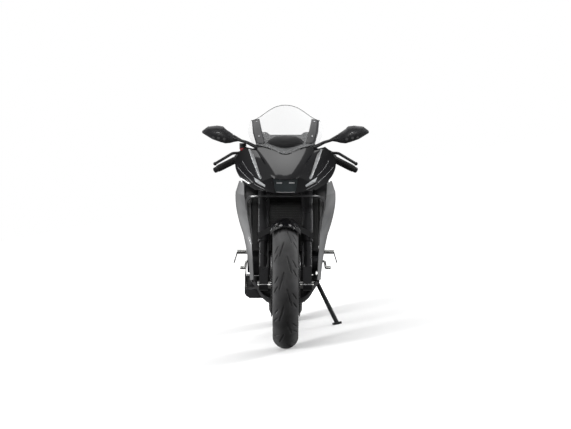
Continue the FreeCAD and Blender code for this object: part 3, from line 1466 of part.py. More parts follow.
MIRROR_HEAD_SHARES = [
    ((2.50, 1.46, 10.06), .10, .10), ((2.78, 1.40, 10.10), .22, .30), ((3.20, 1.38, 10.14), .26, .42),
    ((3.72, 1.40, 10.20), .22, .32), ((3.98, 1.46, 10.26), .10, .13),
]
MIRROR_STALK_SHARES = [(1.18, 1.44, 9.42), (1.80, 1.42, 9.66), (2.58, 1.46, 10.06)]
MIRROR_GLASS_SHARE = 1.50


def lined_outline(shares):
    return [(f"{across} * pitch_across", f"{up} * pitch_up") for across, up in shares]


def windscreen():
    return shaped("windscreen", skin(mirrored_grid(points_of(SCREEN_SHARES)), size("screen_thickness")))


def nose_cowl():
    """The nose: a hood that narrows to the headlamp, cheeks on both sides, and a mouth left out for the lamp."""
    grid = mirrored_grid(points_of(NOSE_SHARES))
    centre = [(1, 1)]
    shell = skin(grid, size("panel_thickness"), rail_creases=(2, 6), station_creases=(3,), left_out=centre)
    gap = size("seat_gap")
    slits = both_sides(tube([at(share) for share in SLIT_SHARES], size("position_lamp_radius") + gap))
    stalks = both_sides(
        rod(at(MIRROR_STALK_SHARES[0]), at(MIRROR_STALK_SHARES[1]), size("mirror_stalk_radius") + gap)
    )
    return shaped("nose_cowl", shell.cut([slits, stalks]))


def headlamp():
    """The lamp in the nose's mouth, with its lens face a little behind the cowl."""
    body = new_body("headlamp")
    outline = lined_outline(LAMP_SHARES)
    depth = f"({LAMP_BACK_SHARE} - {LAMP_FRONT_SHARE}) * pitch_along"
    pad(body, draw(body, "XZ_Plane", [outline], f"-{LAMP_BACK_SHARE} * pitch_along"), depth)
    return body


def position_lamps():
    """The two light bars beside the hood."""
    radius = size("position_lamp_radius")
    bar = tube([at(share) for share in SLIT_SHARES], radius)
    return shaped("position_lamps", both_sides(bar))


def inner_cowl():
    """The lip over the air intake's mouth."""
    rear, front = points_of(LIP_SHARES)[::-1]
    columns = [[back, ahead] for back, ahead in zip(rear, front)]
    return shaped("inner_cowl", skin(mirrored_grid(columns), size("panel_thickness")))


def side_fairing_shell():
    grid = points_of(FAIRING_SHARES)
    return skin(grid, size("panel_thickness"), rail_creases=(2, 4))


def left_fairing():
    return shaped("left_fairing", side_fairing_shell())


def right_fairing():
    return shaped("right_fairing", side_fairing_shell().mirror(Vector(0, 0, 0), Vector(1, 0, 0)))


def belly_pan():
    pan = skin(mirrored_grid(points_of(BELLY_SHARES)), size("panel_thickness"), rail_creases=(1, 5))
    top = at((0, 0, CRANKCASE_SHARES[2][1])).z - size("seat_gap")
    posts = []
    for share in BELLY_POST_SHARES:
        foot = at(share)
        posts.append(rod(foot, Vector(foot.x, foot.y, top), size("bobbin_radius / 2")))
    return shaped("belly_pan", joined([pan] + posts))


def fuel_tank():
    """The tank, with the tunnel under it for the frame."""
    form = hull(TANK_STATION_SHARES, TANK_SECTION_SHARES)
    half, top, along = size("tank_tunnel_half"), size("tank_tunnel_top"), at((0, 20, 0)).y
    tunnel = Part.makeBox(2 * half, along, top, Vector(-half, 0, 0))
    recess = Part.makeCylinder(
        size("cap_radius + overrun"), size("cap_radius"), at(CAP_SHARE) - Vector(0, 0, size("seat_gap"))
    )
    return shaped("fuel_tank", form.cut([tunnel, recess]))


def filler_cap():
    base = at(CAP_SHARE)
    return shaped("filler_cap", Part.makeCylinder(size("cap_radius"), size("cap_height"), base))


def rider_seat():
    return shaped("rider_seat", hull(RIDER_SEAT_STATION_SHARES, SEAT_SECTION_SHARES))


def passenger_seat():
    return shaped("passenger_seat", hull(PASSENGER_SEAT_STATION_SHARES, SEAT_SECTION_SHARES))


def seat_floor(stations, edge):
    """The panel under a seat, clear of the seat's flat base, with half its outline given as (across, along)."""
    first, last = stations[0], stations[-1]
    slope = (last[3] - first[3]) / (last[0] - first[0])
    drop = Vector(0, 0, size("seat_gap"))
    left = [at((across, along, first[3] + slope * (along - first[0]))) - drop for across, along in edge]
    right = [Vector(-point.x, point.y, point.z) for point in left]
    return skin([right[::-1], left[::-1]], size("panel_thickness"))


def tail_cowl():
    """The tail: two side panels, the floors under both seats and the tip over the lamp."""
    gauge = size("panel_thickness")
    side = skin(points_of(TAIL_SIDE_SHARES), gauge, rail_creases=(1,))
    tip = skin([rail[::-1] for rail in mirrored_grid(points_of(TAIL_SHARES))], gauge)
    floors = [seat_floor(RIDER_SEAT_STATION_SHARES, RIDER_FLOOR_SHARES),
              seat_floor(PASSENGER_SEAT_STATION_SHARES, PASSENGER_FLOOR_SHARES)]
    return shaped("tail_cowl", joined([side, side.mirror(Vector(0, 0, 0), Vector(1, 0, 0)), tip] + floors))


def tail_lamp():
    body = new_body("tail_lamp")
    back = f"-{TAIL_LAMP_BACK_SHARE} * pitch_along"
    pad(body, draw(body, "XZ_Plane", [lined_outline(TAIL_LAMP_SHARES)], back), "tail_lamp_depth")
    return body


def instrument_panel():
    body = new_body("instrument_panel")
    pad(body, draw(body, "XZ_Plane", [lined_outline(INSTRUMENT_SHARES)]), "instrument_depth")
    return place(body, Placement(at(INSTRUMENT_PLACE_SHARE), Rotation()))


def mirror_head():
    form = pod(MIRROR_HEAD_SHARES)
    far = at((5, 5, 12))
    face = at((0, MIRROR_GLASS_SHARE, 0)).y
    return form.cut(Part.makeBox(far.x, far.y, far.z, Vector(0, face, 0)))


def mirrors():
    """The two mirrors on their stalks, each with a flat back for its glass."""
    stalk = tube([at(share) for share in MIRROR_STALK_SHARES], size("mirror_stalk_radius"))
    return shaped("mirrors", both_sides(joined([mirror_head(), stalk])))


def mirror_glasses():
    head = mirror_head()
    face = at((0, MIRROR_GLASS_SHARE, 0)).y
    section = head.slice(Vector(0, 1, 0), face - size("seat_gap"))[0]
    middle = section.BoundBox.Center
    shrink = 1 - 2 * size("mirror_rim") / section.BoundBox.ZLength
    outline = section.scaled(shrink, middle)
    plate = Part.Face(outline).extrude(Vector(0, size("mirror_glass_thickness"), 0))
    plate.translate(Vector(0, size("2 * seat_gap"), 0))
    return shaped("mirror_glasses", both_sides(plate))


STAY_SHARES = [(.24, 1.90, 8.40), (.30, 1.30, 8.60), (.88, 1.16, 9.02), (1.10, 1.36, 9.28)]


def fairing_stay():
    """The stay that carries the nose, the instrument and the mirrors ahead of the head tube."""
    root = head_tube_place(size("head_tube_radius") / 2, -size("head_tube_radius * 0.9"),
                           size("lower_yoke_bottom + upper_yoke_bottom") / 2)
    leg = tube([root] + [at(share) for share in STAY_SHARES], size("stay_radius"))
    bridge = cross_tube(STAY_SHARES[1], size("stay_radius"))
    stay = joined([leg, leg.mirror(Vector(0, 0, 0), Vector(1, 0, 0)), bridge])
    column = rod(
        head_tube_place(0, 0, 0), head_tube_place(0, 0, size("upper_yoke_bottom")),
        size("head_tube_radius + seat_gap")
    )
    return shaped("fairing_stay", stay.cut(column))


# Foot rests, plate carrier and indicators

HANGER_SHARES = [(7.96, 3.60), (8.52, 4.30), (9.40, 4.70), (9.56, 4.30), (8.80, 3.86), (8.36, 3.40)]
PEG_SHARE = (0, 8.50, 4.10)
PASSENGER_HANGER_SHARES = [(9.10, 6.50), (11.0, 5.62), (11.3, 5.40), (11.0, 5.36), (9.00, 6.10)]
PASSENGER_PEG_SHARE = (0, 11.0, 5.50)
GEAR_LEVER_SHARES = [(1.58, 8.52, 3.66), (2.02, 8.14, 3.62), (2.04, 7.50, 3.46), (2.04, 6.96, 3.38)]
CARRIER_SHARES = [
    (14.6, 8.60), (15.3, 8.44), (17.19, 6.60), (17.385, 6.00), (17.1, 6.02), (15.0, 7.90), (14.3, 8.30)
]
PLATE_SHARES = [(16.95, 7.30), (17.60, 5.30)]
INDICATOR_SHARES = [(0, 15.9, 7.50), (1.20, 15.9, 7.50)]


def rider_footrests():
    """Hangers bolted to the pivot plates, with their folding pegs, the gear lever and the brake pedal."""
    inner = size("pivot_plate_inboard + pivot_plate_thickness + seat_gap")
    outer = inner + size("hanger_thickness")
    plate = slab(along_up(HANGER_SHARES), inner, outer)
    seat = at(PEG_SHARE)
    start = Vector(outer - size("overrun"), seat.y, seat.z)
    peg = rod(start, start + Vector(size("peg_length + overrun"), 0, 0), size("peg_radius"))
    tip = start + Vector(size("peg_length"), 0, 0)
    feeler = rod(
        tip, tip + Vector(size("peg_length") * 0.2, 0, -size("peg_length") * 0.65),
        size("peg_feeler_radius")
    )
    hole = rod(
        pivot(), pivot() + Vector(outer + size("seat_gap"), 0, 0), size("pivot_radius * 1.6 + seat_gap")
    )
    pedal = tube([at(share) for share in GEAR_LEVER_SHARES], size("pedal_radius"))
    toe = at(GEAR_LEVER_SHARES[-1])
    rubber = rod(toe, toe + Vector(size("peg_length") * 0.3, 0, 0), size("peg_radius") * 0.8)
    return shaped("rider_footrests", both_sides(joined([plate, peg, feeler, pedal, rubber]).cut(hole)))


def passenger_footrests():
    inner = size("seat_rail_radius * 1.38") + at(SEAT_STAY_SHARES[1]).x
    plate = slab(along_up(PASSENGER_HANGER_SHARES), inner, inner + size("hanger_thickness"))
    seat = at(PASSENGER_PEG_SHARE)
    start = Vector(inner, seat.y, seat.z)
    peg = rod(start, start + Vector(size("peg_length"), 0, 0), size("peg_radius"))
    return shaped("passenger_footrests", both_sides(joined([plate, peg])))


def plate_carrier():
    """The arm under the tail with its blank plate and the plate's lamp hood."""
    half = size("carrier_half_width")
    arm = slab(along_up(CARRIER_SHARES), -half, half)
    (top_y, top_z), (low_y, low_z) = along_up(PLATE_SHARES)
    gauge, wide = size("plate_thickness"), size("plate_half_width")
    plate = slab(
        [(top_y, top_z), (low_y, low_z), (low_y + gauge, low_z), (top_y + gauge, top_z)], -wide, wide
    )
    return shaped("plate_carrier", joined([arm, plate]))


def rear_indicators():
    root, tip = (at(share) for share in INDICATOR_SHARES)
    root += Vector(size("carrier_half_width + seat_gap"), 0, 0)
    stalk = rod(root, tip, size("indicator_stalk_radius"))
    lamp = rod(tip, tip + Vector(size("indicator_length"), 0, 0), size("indicator_radius"))
    return shaped("rear_indicators", both_sides(joined([stalk, lamp])))


# The machine as it parks

def lean():
    """Tilts the upright machine to its left until both tyres stand on their rounded crowns."""
    angle = size("lean_angle")
    drop = 1 - math.cos(math.radians(angle))
    front, rear = size("front_crown_radius") * drop, size("rear_crown_radius") * drop
    pitch = math.degrees(math.asin((rear - front) / size("wheelbase")))
    tilt = Rotation(Vector(1, 0, 0), pitch) * Rotation(Vector(0, 1, 0), angle)
    return Placement(Vector(0, 0, front), tilt)


STAND_PIVOT_SHARE = (1.50, 7.90, 2.80)
STAND_FOOT_SHARE = (2.62, 6.94, .56)
STAND_STOWED_SHARE = (1.80, 10.6, 2.66)
STAND_BRACKET_SHARE = (1.46, 8.36, 3.20)


def stand_axis():
    eye = at(STAND_PIVOT_SHARE)
    return (at(STAND_FOOT_SHARE) - eye).cross(at(STAND_STOWED_SHARE) - eye).normalize()


def stand_bracket():
    """The lug under the left pivot plate, with the bolt that the side stand turns on."""
    eye, axis = at(STAND_PIVOT_SHARE), stand_axis()
    half = size("stand_boss_height") / 2
    radius = size("stand_boss_radius")
    face = eye - axis * (half + size("stand_lug_gap"))
    lug = rod(face - axis * size("stand_lug_thickness"), face, radius)
    bolt = rod(
        face - axis * size("stand_lug_thickness"), eye + axis * (half + size("stand_lug_gap")),
        size("stand_bolt_radius")
    )
    head = rod(eye + axis * (half + size("stand_lug_gap")), eye + axis * (
        half + size("stand_lug_gap + stand_bolt_head")
    ),
               size("stand_bolt_radius * 1.7"))
    start = face - axis * size("stand_lug_thickness")
    across = at(STAND_BRACKET_SHARE) - start
    corner = start + (across - axis * across.dot(axis)).normalize() * size("stand_bracket_reach")
    gauge = size("stand_strut_radius")
    strut = [rod(face - axis * gauge, start, gauge), rod(start, corner, gauge), Part.makeSphere(gauge, start),
             Part.makeSphere(gauge, corner), rod(corner, at(STAND_BRACKET_SHARE), gauge)]
    return joined([lug, bolt, head] + strut)


def side_stand():
    """The side stand, down: its boss on the frame's bolt, a leg, and a foot that lies flat on the floor."""
    eye, foot, axis = at(STAND_PIVOT_SHARE), at(STAND_FOOT_SHARE), stand_axis()
    half = axis * size("stand_boss_height") / 2
    boss = rod(eye - half, eye + half, size("stand_boss_radius"))
    parked = lean()
    under = parked.multVec(foot)
    sole = parked.inverse().multVec(Vector(under.x, under.y, 0))
    up = parked.inverse().Rotation.multVec(Vector(0, 0, 1))
    pad_disc = Part.makeCylinder(size("stand_foot_radius"), size("stand_foot_thickness"), sole, up)
    leg = rod(eye, foot, size("stand_leg_radius"))
    hole = rod(eye - half * 2, eye + half * 2, size("stand_bolt_radius + running_gap"))
    return shaped("side_stand", joined([boss, leg, pad_disc]).cut(hole))


BUILDERS = [
    front_calipers, fork_lower_legs, fork_upper_tubes, top_yoke, bottom_yoke, front_axle, handlebars, grips,
    hand_controls, front_mudguard, main_frame, swingarm, rear_shock, pivot_bolt_and_axle, engine,
    front_sprocket,
    drive_chain, sprocket_cover, radiator, exhaust_pipes, silencer, silencer_shield, windscreen, nose_cowl,
    headlamp, position_lamps, inner_cowl, left_fairing, right_fairing, belly_pan, fuel_tank, filler_cap,
    rider_seat, passenger_seat, tail_cowl, tail_lamp, instrument_panel, mirrors, mirror_glasses, fairing_stay,
    rider_footrests, passenger_footrests, plate_carrier, rear_indicators, side_stand,
]


def centre_shift(pieces):
    """The shift that brings the middle of the floor under the leaning machine's box to the origin."""
    whole = FreeCAD.BoundBox()
    for piece in pieces:
        whole.add(piece.Shape.optimalBoundingBox(False, False))
    return Placement(Vector(-whole.Center.x, -whole.Center.y, 0), Rotation())


def check(pieces):
    broken = [item.Name for item in doc.Objects if {"Invalid", "Error"} & set(item.State)]
    broken += [piece.Label for piece in pieces if piece.Shape.isNull() or not piece.Shape.isValid()]
    if broken:
        raise RuntimeError("not built: " + ", ".join(broken))


def main():
    pieces = front_wheel() + rear_wheel() + [build() for build in BUILDERS]
    doc.recompute()
    check(pieces)
    for move in (lambda: lean(), lambda: centre_shift(pieces)):
        step = move()
        for piece in pieces:
            piece.Placement = step * piece.Placement
        doc.recompute()
    check(pieces)
    os.makedirs("parts", exist_ok=True)
    for piece in pieces:
        piece.Shape.exportStep(f"parts/{piece.Label}.step")
    print(f"{len(pieces)} pieces written")


main()
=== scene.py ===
import json
import math

import bmesh
import bpy
import numpy as np
from mathutils import Matrix, Vector
from mathutils.bvhtree import BVHTree


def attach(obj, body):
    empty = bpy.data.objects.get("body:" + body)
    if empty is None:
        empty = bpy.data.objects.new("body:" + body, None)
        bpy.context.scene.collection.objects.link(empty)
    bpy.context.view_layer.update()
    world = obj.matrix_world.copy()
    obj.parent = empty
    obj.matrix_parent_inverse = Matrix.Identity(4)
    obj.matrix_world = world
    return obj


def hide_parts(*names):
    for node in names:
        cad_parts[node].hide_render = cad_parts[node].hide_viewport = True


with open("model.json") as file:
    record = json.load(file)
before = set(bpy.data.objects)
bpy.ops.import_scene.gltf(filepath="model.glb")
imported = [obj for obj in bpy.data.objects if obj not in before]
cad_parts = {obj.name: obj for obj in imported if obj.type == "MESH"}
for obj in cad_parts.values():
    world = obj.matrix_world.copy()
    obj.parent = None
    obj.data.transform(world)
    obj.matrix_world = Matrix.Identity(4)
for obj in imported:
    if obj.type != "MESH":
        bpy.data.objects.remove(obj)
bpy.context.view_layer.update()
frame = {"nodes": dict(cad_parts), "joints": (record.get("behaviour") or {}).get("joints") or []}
nodes = frame["nodes"]
joints = {joint["name"]: joint for joint in frame["joints"]}
print("frame loaded")

# Upright drawing space: X to the rider's left, Y rearwards from the front axle, Z up from the ground, in mm.
wheelbase = {"length": 1395.0, "frontRadius": 299.9, "rearRadius": 314.9}


def parkedMatrix():
    across = Vector(joints["front_wheel_spin"]["axis"]).normalized()
    front = Vector(joints["front_wheel_spin"]["pos_m"])
    back = (Vector(joints["rear_wheel_spin"]["pos_m"]) - front).normalized()
    climb = math.atan2(wheelbase["rearRadius"] - wheelbase["frontRadius"], wheelbase["length"])
    over = across.cross(back)
    along = back * math.cos(climb) - over * math.sin(climb)
    up = back * math.sin(climb) + over * math.cos(climb)
    turn = Matrix((across, along, up)).transposed().to_4x4()
    return Matrix.Translation(front - up * wheelbase["frontRadius"] / 1000) @ turn


parked = parkedMatrix()
parkedTurn = parked.to_3x3()
upright = parked.inverted()


def spot(x, y, z):
    return parked @ (Vector((x, y, z)) / 1000)


def heading(x, y, z):
    return (parkedTurn @ Vector((x, y, z))).normalized()


def placed(name, data):
    made = bpy.data.objects.new(name, data)
    bpy.context.collection.objects.link(made)
    return made


# Camera and light

camera = {"distance": 8.75, "height": 0.930, "dip": 1.954, "lens": 117.3, "sensor": 36, "far": 100}


def makeCamera():
    data = bpy.data.cameras.new("photoCamera")
    data.lens, data.sensor_width, data.clip_end = camera["lens"], camera["sensor"], camera["far"]
    eye = placed("photoCamera", data)
    place = Matrix.Translation((0, -camera["distance"], camera["height"]))
    eye.matrix_world = parked @ place @ Matrix.Rotation(math.radians(90 - camera["dip"]), 4, "X")
    bpy.context.scene.camera = eye


makeCamera()

studio = {
    "floorHalf": 40.0, "floorColour": 0.80, "floorGlow": 0.14, "glowFrom": 0.9, "glowTo": 2.4,
    "skyBack": 1.0, "skyGlow": 0.10, "skyTop": 0.30, "riseFrom": 0.25, "riseTo": 0.95,
}
boxes = {
    "topBox": {"place": (0, 0.6, 4.4), "aim": (0, 0.2, 0.5), "size": (5.0, 5.0), "watts": 95},
    "sideFill": {"place": (4.2, -0.9, 1.6), "aim": (0, 0.2, 0.6), "size": (2.4, 2.4), "watts": 210},
    "sideStrip": {"place": (3.4, 1.0, 1.3), "aim": (0, 0.2, 0.7), "size": (0.14, 2.6), "watts": 22},
    "frontBox": {"place": (0, -7.5, 1.7), "aim": (0, 0, 0.4), "size": (0.9, 0.7), "watts": 60},
    "rearBox": {"place": (0, 4.5, 3.0), "aim": (0, 0.5, 0.6), "size": (3.0, 0.9), "watts": 40},
}


def shaderNode(tree, kind, values=None):
    # a shader node with constants on its sockets
    node = tree.nodes.new(kind)
    for socket, value in (values or {}).items():
        node.inputs[socket].default_value = value
    return node


def wired(tree, *links):
    # each link runs from a node's output to a node's input
    for source, output, target, socket in links:
        tree.links.new(source.outputs[output], target.inputs[socket])


def areaLight(name, side=1):
    box = boxes[name]
    data = bpy.data.lights.new(name, "AREA")
    data.shape = "RECTANGLE"
    data.size, data.size_y = box["size"]
    data.energy = box["watts"]
    lamp = placed(name, data)
    place = Vector((side * box["place"][0], *box["place"][1:]))
    lamp.location = place
    lamp.rotation_euler = (Vector(box["aim"]) - place).to_track_quat("-Z", "Y").to_euler()
    return lamp


def makeFloor():
    # pale paper that glows more with distance, so that it fades to white
    half = studio["floorHalf"]
    mesh = bpy.data.meshes.new("studioFloor")
    corners = [(-half, -half, 0), (half, -half, 0), (half, half, 0), (-half, half, 0)]
    mesh.from_pydata(corners, [], [(0, 1, 2, 3)])
    floor = placed("studioFloor", mesh)
    paper = bpy.data.materials.new("studioPaper")
    paper.use_nodes = True
    tree = paper.node_tree
    surface = tree.nodes["Principled BSDF"]
    surface.inputs["Base Color"].default_value = (studio["floorColour"],) * 3 + (1,)
    surface.inputs["Roughness"].default_value = 1.0
    surface.inputs["Specular IOR Level"].default_value = 0.0
    surface.inputs["Emission Color"].default_value = (1, 1, 1, 1)
    where, reach = shaderNode(tree, "ShaderNodeTexCoord"), shaderNode(tree, "ShaderNodeVectorMath")
    reach.operation = "LENGTH"
    fade = shaderNode(tree, "ShaderNodeMapRange", {
        "From Min": studio["glowFrom"], "From Max": studio["glowTo"],
        "To Min": studio["floorGlow"], "To Max": 1.0,
    })
    fade.interpolation_type = "SMOOTHSTEP"
    wired(
        tree, (where, "Object", reach, 0), (reach, "Value", fade, "Value"),
        (fade, "Result", surface, "Emission Strength")
    )
    mesh.materials.append(paper)
    floor.visible_glossy = False
    floor.visible_diffuse = False


def makeSky():
    # white to the camera, and a dim dome that brightens overhead for the reflections
    world = bpy.data.worlds.new("studioSky")
    bpy.context.scene.world = world
    world.use_nodes = True
    tree = world.node_tree
    tree.nodes.clear()
    white = (1, 1, 1, 1)
    out, mix = shaderNode(tree, "ShaderNodeOutputWorld"), shaderNode(tree, "ShaderNodeMixShader")
    path, where = shaderNode(tree, "ShaderNodeLightPath"), shaderNode(tree, "ShaderNodeTexCoord")
    glow = shaderNode(tree, "ShaderNodeBackground", {"Color": white})
    back = shaderNode(tree, "ShaderNodeBackground", {"Color": white, "Strength": studio["skyBack"]})
    apart = shaderNode(tree, "ShaderNodeSeparateXYZ")
    rise = shaderNode(tree, "ShaderNodeMapRange", {
        "From Min": studio["riseFrom"], "From Max": studio["riseTo"],
        "To Min": studio["skyGlow"], "To Max": studio["skyTop"],
    })
    wired(
        tree, (where, "Generated", apart, 0), (apart, "Z", rise, "Value"), (rise, "Result", glow, "Strength"),
        (path, "Is Camera Ray", mix, 0), (glow, 0, mix, 1), (back, 0, mix, 2), (mix, 0, out, 0)
    )


def makeStudio():
    makeFloor()
    makeSky()
    areaLight("topBox")
    for side in (-1, 1):
        areaLight("sideFill", side).visible_glossy = False
        areaLight("sideStrip", side)
    areaLight("frontBox")
    areaLight("rearBox")
    bpy.context.scene.view_settings.view_transform = "Standard"


makeStudio()
print("camera and studio ready")

# Finishes

finishes = {}
look = {
    "darkAt": 0.35, "lightAt": 0.65, "broadDetail": 4, "smudgeScale": 5, "smudgeDetail": 6, "relief": 0.001,
    "ior": 1.5,
}
grains = {"noise": ("ShaderNodeTexNoise", "Fac"), "pebble": ("ShaderNodeTexVoronoi", "Distance")}


def finish(name, colour, rough=0.4, metal=0.0, coat=0.0, coatRough=0.04, shade=0.25, shadeScale=6.0,
           roughShift=0.08, bump=0.05, bumpScale=500.0, stretch=(1, 1, 1), grain="noise", sheen=0.0,
           alpha=1.0):
    # a colour and a roughness that wander a little, and a fine relief
    material = bpy.data.materials.new(name)
    material.use_nodes = True
    tree = material.node_tree
    surface = tree.nodes["Principled BSDF"]
    for socket, value in (("Metallic", metal), ("Coat Weight", coat), ("Coat Roughness", coatRough),
                          ("IOR", look["ior"]), ("Sheen Weight", sheen), ("Alpha", alpha)):
        surface.inputs[socket].default_value = value
    where = shaderNode(tree, "ShaderNodeTexCoord")
    broad = shaderNode(tree, "ShaderNodeTexNoise", {"Scale": shadeScale, "Detail": look["broadDetail"]})
    ramp = shaderNode(tree, "ShaderNodeValToRGB")
    dark, light = ramp.color_ramp.elements
    dark.position, light.position = look["darkAt"], look["lightAt"]
    dark.color = tuple(c * (1 - shade) for c in colour) + (1,)
    light.color = tuple(min(1, c * (1 + shade)) for c in colour) + (1,)
    smudge = shaderNode(tree, "ShaderNodeTexNoise", {
        "Scale": shadeScale * look["smudgeScale"], "Detail": look["smudgeDetail"],
    })
    shift = shaderNode(tree, "ShaderNodeMapRange", {
        "To Min": max(0.0, rough - roughShift), "To Max": min(1.0, rough + roughShift),
    })
    wired(
        tree, (where, "Object", broad, "Vector"), (broad, "Fac", ramp, "Fac"),
        (ramp, "Color", surface, "Base Color"), (where, "Object", smudge, "Vector"),
        (smudge, "Fac", shift, "Value"), (shift, "Result", surface, "Roughness")
    )
    if bump:
        kind, output = grains[grain]
        mapping = shaderNode(tree, "ShaderNodeMapping", {"Scale": stretch})
        fine = shaderNode(tree, kind, {"Scale": bumpScale})
        relief = shaderNode(tree, "ShaderNodeBump", {"Strength": bump, "Distance": look["relief"]})
        wired(
            tree, (where, "Object", mapping, "Vector"), (mapping, "Vector", fine, "Vector"),
            (fine, output, relief, "Height"), (relief, "Normal", surface, "Normal")
        )
    finishes[name] = material
    return material


def glowFinish(name, colour, strength, rough=0.2):
    material = finish(name, colour, rough=rough, coat=1.0, shade=0.05, bump=0.0)
    surface = material.node_tree.nodes["Principled BSDF"]
    surface.inputs["Emission Color"].default_value = tuple(colour) + (1,)
    surface.inputs["Emission Strength"].default_value = strength
    return material


finish(
    "glossBlack", (0.006, 0.006, 0.007), rough=0.16, coat=1.0, coatRough=0.02, bump=0.02, bumpScale=120,
    roughShift=0.03
)
finish(
    "panelGrey", (0.26, 0.262, 0.266), rough=0.36, metal=0.2, coat=0.7, coatRough=0.08, bump=0.03,
    bumpScale=900
)
finish(
    "tankGrey", (0.012, 0.012, 0.013), rough=0.18, coat=1.0, coatRough=0.02, bump=0.02, bumpScale=120,
    roughShift=0.03
)
finish("frameBlack", (0.014, 0.014, 0.015), rough=0.42, coat=0.2, bump=0.12, bumpScale=420)
finish("castDark", (0.055, 0.055, 0.058), rough=0.48, metal=0.75, bump=0.35, bumpScale=520)
finish(
    "machinedDark", (0.10, 0.10, 0.105), rough=0.30, metal=0.9, bump=0.10, bumpScale=60, stretch=(1, 1, 40)
)
finish(
    "alloyBlack", (0.016, 0.016, 0.017), rough=0.34, metal=0.3, coat=0.35, coatRough=0.15, bump=0.08,
    bumpScale=700
)
finish("forkBlack", (0.030, 0.030, 0.032), rough=0.30, metal=0.5, coat=0.2, bump=0.02, bumpScale=400)
finish(
    "brushedSteel", (0.42, 0.42, 0.41), rough=0.30, metal=1.0, bump=0.12, bumpScale=40, stretch=(30, 1, 30)
)
finish("discSteel", (0.36, 0.36, 0.365), rough=0.26, metal=1.0, bump=0.12, bumpScale=260, shade=0.12)
finish(
    "heatedSteel", (0.30, 0.26, 0.20), rough=0.34, metal=1.0, bump=0.06, bumpScale=300, shade=0.35,
    shadeScale=9
)
finish(
    "shieldAlloy", (0.50, 0.50, 0.49), rough=0.34, metal=0.95, bump=0.1, bumpScale=50, stretch=(30, 1, 30)
)
finish("chainSteel", (0.13, 0.125, 0.115), rough=0.36, metal=1.0, bump=0.15, bumpScale=300)
finish(
    "tyreRubber", (0.046, 0.046, 0.047), rough=0.50, bump=0.30, bumpScale=650, shade=0.30, shadeScale=14,
    sheen=0.08
)
finish("gripRubber", (0.012, 0.012, 0.012), rough=0.66, bump=0.25, bumpScale=900)
finish("grainPlastic", (0.020, 0.020, 0.021), rough=0.52, bump=0.35, bumpScale=900, grain="pebble")
finish("satinPlastic", (0.030, 0.030, 0.032), rough=0.36, coat=0.15, bump=0.08, bumpScale=900)
finish("seatCover", (0.014, 0.014, 0.015), rough=0.58, bump=0.5, bumpScale=420, grain="pebble", sheen=0.1)
finish("radiatorCore", (0.018, 0.018, 0.018), rough=0.5, metal=0.4, bump=0.2, bumpScale=300)
finish("clearScreen", (0.80, 0.81, 0.82), rough=0.03, shade=0.0, roughShift=0.0, bump=0.0, alpha=0.14)
finish(
    "finnedLamp", (0.30, 0.305, 0.31), rough=0.22, coat=0.8, shade=0.35, shadeScale=40, bump=0.5,
    bumpScale=60, stretch=(1, 1, 9)
)
glowFinish("redGlow", (0.55, 0.01, 0.01), 0.5)
finish(
    "smokedLens", (0.040, 0.052, 0.056), rough=0.08, coat=1.0, coatRough=0.02, bump=0.05, bumpScale=60,
    stretch=(1, 1, 12)
)
finish("redLens", (0.30, 0.006, 0.006), rough=0.10, coat=1.0, bump=0.10, bumpScale=220)
finish("amberLens", (0.45, 0.14, 0.01), rough=0.12, coat=1.0, bump=0.10, bumpScale=260)
finish("mirrorGlass", (0.80, 0.82, 0.84), rough=0.02, metal=1.0, shade=0.0, roughShift=0.01, bump=0.0)
finish("dialGlass", (0.035, 0.037, 0.04), rough=0.10, coat=1.0, bump=0.0)
finish("paleLine", (0.62, 0.62, 0.62), rough=0.4, bump=0.0, shade=0.05)
# painted highlight: the grey of the lines laid along the nose's creases
finish("paintedHighlightGrey", (0.26, 0.26, 0.265), rough=0.3, coat=0.5, bump=0.0, shade=0.1)
finish("redSwitch", (0.42, 0.012, 0.020), rough=0.38, bump=0.05)
glowFinish("whiteLamp", (0.42, 0.43, 0.44), 0.05)
finish("chromeDot", (0.55, 0.55, 0.56), rough=0.12, metal=1.0, bump=0.0, shade=0.1)

wear = {
    "glossBlack": ["nose_cowl", "tail_cowl", "front_mudguard"],
    "satinPlastic": ["inner_cowl", "belly_pan", "mirrors"],
    "panelGrey": ["left_fairing", "right_fairing"],
    "tankGrey": ["fuel_tank"],
    "frameBlack": ["main_frame", "fairing_stay", "side_stand"],
    "castDark": ["engine"],
    "machinedDark": ["sprocket_cover", "passenger_footrests", "filler_cap"],
    "alloyBlack": ["front_rim", "rear_rim", "swingarm", "top_yoke", "bottom_yoke", "front_calipers"],
    "forkBlack": ["handlebars", "fork_lower_legs", "fork_upper_tubes", "silencer"],
    "brushedSteel": ["rider_footrests", "front_axle", "pivot_bolt_and_axle"],
    "heatedSteel": ["exhaust_pipes"],
    "shieldAlloy": ["silencer_shield"],
    "radiatorCore": ["radiator"],
    "discSteel": ["front_discs", "rear_disc"],
    "chainSteel": ["rear_shock", "drive_chain", "front_sprocket", "rear_sprocket"],
    "tyreRubber": ["front_tyre", "rear_tyre"],
    "gripRubber": ["grips"],
    "grainPlastic": ["hand_controls", "plate_carrier"],
    "seatCover": ["rider_seat", "passenger_seat"],
    "dialGlass": ["instrument_panel"],
    "clearScreen": ["windscreen"],
    "smokedLens": ["headlamp"],
    "whiteLamp": ["position_lamps"],
    "redLens": ["tail_lamp"],
    "amberLens": ["rear_indicators"],
    "mirrorGlass": ["mirror_glasses"],
}


def dressed(mesh, material):
    mesh.materials.clear()
    mesh.materials.append(finishes[material])


def dressNodes():
    for material, names in wear.items():
        for name in names:
            dressed(nodes[name].data, material)


dressNodes()
print("finishes on the solids")

# Mesh helpers


def frozen(piece):
    # the mesh that a piece's modifiers give, as plain data
    bpy.context.view_layer.update()
    seen = piece.evaluated_get(bpy.context.evaluated_depsgraph_get())
    return bpy.data.meshes.new_from_object(seen)


def settled(piece):
    piece.data = frozen(piece)
    piece.modifiers.clear()
    return piece.data


